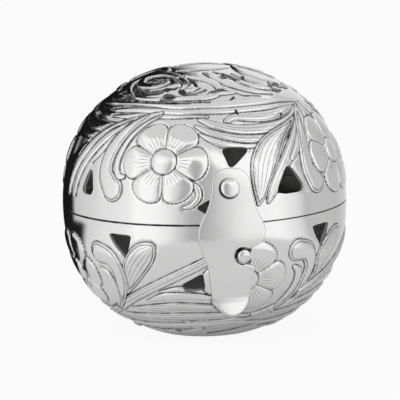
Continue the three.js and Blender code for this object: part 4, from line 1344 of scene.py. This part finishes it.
class BALLBOX_OT_hinge(bpy.types.Operator):
    """Make the hinge: two bearers, five knuckles and the pin"""

    bl_idname = "ballbox.hinge"
    bl_label = "Hinge"

    def bearer(self, name, node, side, body):
        """A strip of the ring that lies against the ball, with a hollow for the knuckles."""
        ball = bpy.context.scene.ball_box.ball
        seam = ball.seam / MM
        low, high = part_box(node)
        length, out = high.x / MM, high.y / MM
        reach = max(abs(low.z / MM - seam), abs(high.z / MM - seam))
        level, rise = ball.radius / MM + BEARER_OFF, ball.pole_radius / MM + BEARER_OFF
        profile = [
            (level * (1 - (z / rise) ** ball.fullness) ** (1 / ball.fullness), z)
            for z in np.linspace(BEARER_GAP, reach, 8)
        ]
        profile += [(out - BEARER_CHAMFER, reach), (out, reach - BEARER_CHAMFER), (out, BEARER_GAP)]
        bm = spun([(radius, side * z) for radius, z in profile], steps=240)
        for direction in (-1, 1):
            bisect(bm, (direction * length, 0, 0), (direction, 0, 0), clear_outer=True)
        front = [face for face in bm.faces if face.calc_center_median().y < 0]
        bmesh.ops.delete(bm, geom=front, context="FACES")
        bmesh.ops.holes_fill(bm, edges=[edge for edge in bm.edges if edge.is_boundary], sides=0)
        bmesh.ops.recalc_face_normals(bm, faces=bm.faces)
        mesh = cut(mesh_of(bm), mesh_of(hinge_trough()))
        set_coordinates(mesh, coordinates(mesh) + np.array((0, 0, seam)))
        shade(mesh, 35)
        finish_piece(name, to_metres(mesh), polished(), body, "silver_polished", node)

    def turned(self, name, node, body, profile_of, steps, rounding=0.0):
        """A piece turned about the hinge's axis, by the half length and the radius of its box."""
        low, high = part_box(node)
        profile = profile_of((high.x - low.x) / MM / 2, (high.z - low.z) / MM / 2)
        place = lying_across((low + high) / 2 / MM)
        mesh = mesh_of(spun(profile, steps=steps, rounding=rounding, place=place))
        shade(mesh, 40)
        finish_piece(name, to_metres(mesh), polished(), body, "silver_polished", node)

    def knuckle(self, reach, radius):
        return [(KNUCKLE_BORE, -reach), (radius, -reach), (radius, reach), (KNUCKLE_BORE, reach)]

    def pin(self, reach, _):
        half = [(0, reach)]
        for turn in (0.5, 0.9, 1.25, 1.57):
            rise = PIN_HEAD_RISE * (1 - math.cos(turn))
            half.append((PIN_HEAD_RADIUS * math.sin(turn), reach - rise))
        half.append((PIN_RADIUS, reach - PIN_NECK))
        return [(radius, -out) for radius, out in half] + half[::-1]

    def execute(self, context):
        self.bearer("bearer_below", "base_hinge_bearer", -1, "base")
        self.bearer("bearer_above", "lid_hinge_bearer", 1, "lid")
        for name, body, places in (
            ("lower", "base", ("left", "middle", "right")), ("upper", "lid", ("left", "right"))
        ):
            for place in places:
                self.turned(
                    f"{name}_knuckle_{place}", f"{body}_knuckle_{place}", body, self.knuckle, 56,
                    KNUCKLE_ROUNDING
                )
        self.turned("pin", "hinge_pin", "base", self.pin, 40)
        return {"FINISHED"}


def dome(radius, low, height):
    """Points from the rim of a domed head to its top."""
    turns = [math.pi / 2 * i / DOME_STEPS for i in range(DOME_STEPS)]
    rim = [(radius * math.cos(turn), low + height * math.sin(turn)) for turn in turns]
    return rim + [(0, low + height)]


class BALLBOX_OT_catch(bpy.types.Operator):
    """Turn the stud that the hook catches on"""

    bl_idname = "ballbox.catch"
    bl_label = "Catch Stud"

    def execute(self, context):
        ball = context.scene.ball_box.ball
        place = stud_place()
        surface = float(ball_radius(toward(*place)))
        inside, head = surface - ball.wall / MM - SEAT, hook_outer() + STUD_GAP
        profile = [
            (0, inside - 0.5), (0.72, inside - 0.5), (1.04, inside - 0.26), (1.04, inside),
            (0.7, inside), (0.7, surface + 0.3), (1.35, surface + 0.3), (1.35, surface + 0.52),
            (0.7, surface + 0.7), (0.7, head), (1.45, head), (1.58, head + 0.1),
        ] + dome(1.6, head + 0.22, 0.67)
        mesh = mesh_of(spun(profile, steps=64, place=standing_at(*place)))
        # Painted shade on the stud below its head
        shaded_under_head(mesh, head)
        shade(mesh, 40)
        finish_piece("stud", to_metres(mesh), polished(), "base", "silver_polished", "catch_stud")
        return {"FINISHED"}


class BALLBOX_OT_pivot(bpy.types.Operator):
    """Turn the rivet of the hook, its washer and its rove"""

    bl_idname = "ballbox.pivot"
    bl_label = "Hook Pivot"

    def execute(self, context):
        sizes = context.scene.ball_box
        latitude = rivet_latitude()
        surface = float(ball_radius(toward(0, latitude)))
        outer = hook_outer()
        rove = surface - sizes.ball.wall / MM - SEAT
        head, inside = outer + 0.15, rove - 0.65
        profile = [
            (0, inside - 0.5), (0.8, inside - 0.5), (1.3, inside - 0.25), (1.3, inside), (0.9, inside),
            (0.9, head), (2.1, head), (2.26, head + 0.1),
        ] + dome(2.28, head + 0.2, 0.8)
        place = standing_at(0, latitude)
        washer, rove_ring = (
            [(WASHER_BORE, low), (WASHER_RADIUS, low), (WASHER_RADIUS, high), (WASHER_BORE, high)]
            for low, high in ((surface + 0.15, outer - 1.2), (rove - 0.5, rove))
        )
        pieces = (
            ("rivet", profile, 0.0, polished(), "silver_polished", "latch_rivet"),
            ("washer", washer, 0.12, polished(), "silver_polished", "latch_washer"),
            ("rove", rove_ring, 0.12, satin(), "silver_satin", "rivet_rove"),
        )
        for name, outline, rounding, material, slot, node in pieces:
            mesh = mesh_of(spun(outline, steps=72, rounding=rounding, place=place))
            # Painted shade below the rivet's head: the washer and the rove lie below it and are shaded
            # all over
            shaded_under_head(mesh, head)
            shade(mesh, 40)
            finish_piece(name, to_metres(mesh), material, "lid", slot, node)
        return {"FINISHED"}


class BALLBOX_OT_hook(bpy.types.Operator):
    """Cut and bend the swivel hook"""

    bl_idname = "ballbox.hook"
    bl_label = "Swivel Hook"

    def execute(self, context):
        colour = context.scene.ball_box.finish.silver
        # The plate gets painted shade round its rivet and on its side faces
        silver = plain_silver(
            "Hook Plate", colour, polish=0.12, scratches=0.6, haze=0.06, ripple=0.00006, dirt=hook_painted_shade
        )
        finish_piece("hook", build_hook(), silver, "latch", "silver_plate", "latch_lever")
        return {"FINISHED"}


def eased(share):
    """Eases a share from 0 to 1 in and out."""
    return share * share * (3 - 2 * share)


class BALLBOX_OT_stage(bpy.types.Operator):
    """Set the floor, the white room, the reflector cards, the soft box and the camera"""

    bl_idname = "ballbox.stage"
    bl_label = "Stage"

    def backdrop(self, tree, lit, seen, mirrored):
        """White as far as it is seen by the camera or mirrored in silver, otherwise the lit shader."""
        add, calc, _, _ = nodes_of(tree)
        path = add("ShaderNodeLightPath").outputs
        share = calc(
            "MAXIMUM", calc("MULTIPLY", path["Is Camera Ray"], seen),
            calc("MULTIPLY", path["Is Glossy Ray"], mirrored)
        )
        share = calc("MAXIMUM", share, calc("MULTIPLY", path["Is Transmission Ray"], seen))
        on_paper = lit.bl_idname == "ShaderNodeBsdfDiffuse"
        kind = "ShaderNodeEmission" if on_paper else "ShaderNodeBackground"
        white = add(kind, Color=(1, 1, 1, 1), Strength=1.0)
        return add("ShaderNodeMixShader", i0=share, i1=lit.outputs[0], i2=white.outputs[0]).outputs[0]

    def floor(self, look):
        material = bpy.data.materials.new("White Paper")
        tree, surface = cleared(material, "ShaderNodeOutputMaterial")
        add, _, _, _ = nodes_of(tree)
        lit = add("ShaderNodeBsdfDiffuse", Color=(*look.paper, 1))
        tree.links.new(self.backdrop(tree, lit, FLOOR_WHITENESS, look.mirrored_floor), surface)
        bm = bmesh.new()
        below = Matrix.Translation((0, 0, -FLOOR_BELOW))
        bmesh.ops.create_grid(bm, x_segments=1, y_segments=1, size=FLOOR_SIZE, matrix=below)
        mesh = mesh_of(bm)
        mesh.materials.append(material)
        piece = new_object("floor", mesh)

    def room(self, look):
        world = bpy.data.worlds.new("White Room")
        bpy.context.scene.world = world
        tree, surface = cleared(world, "ShaderNodeOutputWorld")
        add, _, _, _ = nodes_of(tree)
        lit = add("ShaderNodeBackground", Color=(1, 1, 1, 1), Strength=look.daylight)
        tree.links.new(self.backdrop(tree, lit, 1.0, 1.0), surface)

    def card_material(self):
        """A card that glows at its own grey and fades out towards its edges."""
        material = bpy.data.materials.new("Reflector Card")
        tree, surface = cleared(material, "ShaderNodeOutputMaterial")
        add, _, _, _ = nodes_of(tree)
        grey, cover = (
            add("ShaderNodeAttribute", attribute_name=name).outputs["Fac"] for name in ("grey", "cover")
        )
        clear = add("ShaderNodeBsdfTransparent")
        glow = add("ShaderNodeEmission", Color=(1, 1, 1, 1), Strength=grey)
        mixed = add("ShaderNodeMixShader", i0=cover, i1=clear.outputs[0], i2=glow.outputs[0])
        tree.links.new(mixed.outputs[0], surface)
        return material

    def card(self, name, segments, place):
        """A card bent by place(across, up), both from 0 to 1, that only silver mirrors."""
        bm = bmesh.new()
        bmesh.ops.create_grid(bm, x_segments=segments[0], y_segments=segments[1], size=0.5)
        mesh = mesh_of(bm)
        flat = coordinates(mesh)[:, :2] + 0.5
        points, grey, cover = place(flat[:, 0], flat[:, 1])
        set_coordinates(mesh, points)
        write_values(mesh, "cover", cover)
        write_values(mesh, "grey", grey)
        mesh.materials.append(bpy.data.materials.get("Reflector Card") or self.card_material())
        piece = new_object(name, mesh)
        piece.visible_camera = piece.visible_diffuse = piece.visible_shadow = False
        piece.visible_transmission = False

    def cards(self, look):
        """The bent reflector, a card above and a dark card lying on the floor at the left."""
        turns, greys, heights, starts = np.array(REFLECTOR).T

        def bent(across, up):
            turn = turns[0] + (turns[-1] - turns[0]) * across
            grey, height, start = (np.interp(turn, turns, row) for row in (greys, heights, starts))
            lying, standing = np.clip(up / 0.4, 0, 1), np.clip((up - 0.4) / 0.6, 0, 1)
            off = start + (look.cards_out - start) * lying
            points = toward(CAMERA_AZIMUTH + turn, 0 * turn) * off[:, None]
            points[:, 2] = 0.001 + height * standing
            return points, grey, eased(np.clip(np.minimum(up / 0.06, (1 - up) / 0.12), 0, 1))

        def above(across, up):
            radius, angle = ABOVE_RADIUS * up, 2 * math.pi * across
            height = np.full(len(up), ABOVE_HEIGHT)
            points = np.column_stack([radius * np.cos(angle), radius * np.sin(angle), height])
            return points, np.full(len(up), ABOVE_GREY), eased(np.clip((1 - up) / 0.25, 0, 1))

        def lying(across, up):
            turn = CAMERA_AZIMUTH + LYING_FROM + LYING_SPAN * across
            points = toward(turn, 0 * across) * (LYING_NEAR + LYING_DEPTH * up)[:, None]
            points[:, 2] = LYING_HEIGHT
            rims = np.clip(np.minimum(across, 1 - across) / 0.12, 0, 1) * np.clip((1 - up) / 0.2, 0, 1)
            return points, np.full(len(up), LYING_GREY), eased(rims * np.clip(up / 0.1, 0, 1))

        self.card("reflector", (220, 50), bent)
        self.card("reflector_above", (64, 24), above)
        self.card("reflector_lying", (64, 24), lying)

    def soft_box(self, scene, power):
        light = bpy.data.lights.new("Soft Box", "AREA")
        light.shape = "DISK"
        light.size = SOFT_BOX_SIZE
        light.energy = power
        lamp = bpy.data.objects.new("Soft Box", light)
        lamp.location = Vector(SOFT_BOX_PLACE)
        lamp.rotation_euler = (Vector(SOFT_BOX_AIM) - lamp.location).to_track_quat("-Z", "Y").to_euler()
        lamp.visible_glossy = False
        scene.collection.objects.link(lamp)

    def camera(self, scene):
        camera = bpy.data.cameras.new("Camera")
        camera.sensor_width = SENSOR_WIDTH
        camera.lens = SENSOR_WIDTH * CAMERA_OFF * PIXELS_PER_METRE / PICTURE_WIDTH
        camera.clip_end = 20
        azimuth, roll = CAMERA_AZIMUTH * DEGREES, CAMERA_ROLL * DEGREES
        way = Vector(toward(CAMERA_AZIMUTH, CAMERA_ELEVATION))
        level = Vector((math.cos(azimuth), math.sin(azimuth), 0))
        upright = way.cross(level)
        right = level * math.cos(roll) - upright * math.sin(roll)
        up = upright * math.cos(roll) + level * math.sin(roll)
        aim = Vector((0, 0, scene.ball_box.ball.seam)) - right * (PIXELS_ASIDE / PIXELS_PER_METRE)
        eye = bpy.data.objects.new("Camera", camera)
        matrix = Matrix((right, up, way)).transposed().to_4x4()
        matrix.translation = aim + way * CAMERA_OFF
        eye.matrix_world = matrix
        scene.collection.objects.link(eye)
        scene.camera = eye

    def execute(self, context):
        scene, look = context.scene, context.scene.ball_box.stage
        self.floor(look)
        self.room(look)
        self.cards(look)
        self.soft_box(scene, look.soft_box)
        self.camera(scene)
        scene.view_settings.view_transform = "Standard"
        return {"FINISHED"}


class BALLBOX_PT_panel(bpy.types.Panel):
    """Lists the pieces of the ball box"""

    bl_label = "Ball Box"
    bl_idname = "BALLBOX_PT_panel"
    bl_space_type = "VIEW_3D"
    bl_region_type = "UI"
    bl_category = "Ball Box"

    def draw(self, context):
        for operator in OPERATORS:
            self.layout.operator(operator.bl_idname)


OPERATORS = (
    BALLBOX_OT_stage,
    BALLBOX_OT_shells,
    BALLBOX_OT_bezel,
    BALLBOX_OT_hinge,
    BALLBOX_OT_catch,
    BALLBOX_OT_pivot,
    BALLBOX_OT_hook,
)
GROUPS = (BallSizes, ChasingSizes, HookSizes, SilverFinish, StageLook, BallBoxSettings)


def register():
    for cls in GROUPS + OPERATORS + (BALLBOX_PT_panel,):
        bpy.utils.register_class(cls)
    bpy.types.Scene.ball_box = PointerProperty(type=BallBoxSettings)


def unregister():
    del bpy.types.Scene.ball_box
    for cls in reversed(GROUPS + OPERATORS + (BALLBOX_PT_panel,)):
        bpy.utils.unregister_class(cls)


def main():
    register()
    bpy.ops.ballbox.stage()
    bpy.ops.ballbox.shells()
    bpy.ops.ballbox.bezel()
    bpy.ops.ballbox.hinge()
    bpy.ops.ballbox.catch()
    bpy.ops.ballbox.pivot()
    bpy.ops.ballbox.hook()


if __name__ == "__main__":
    main()
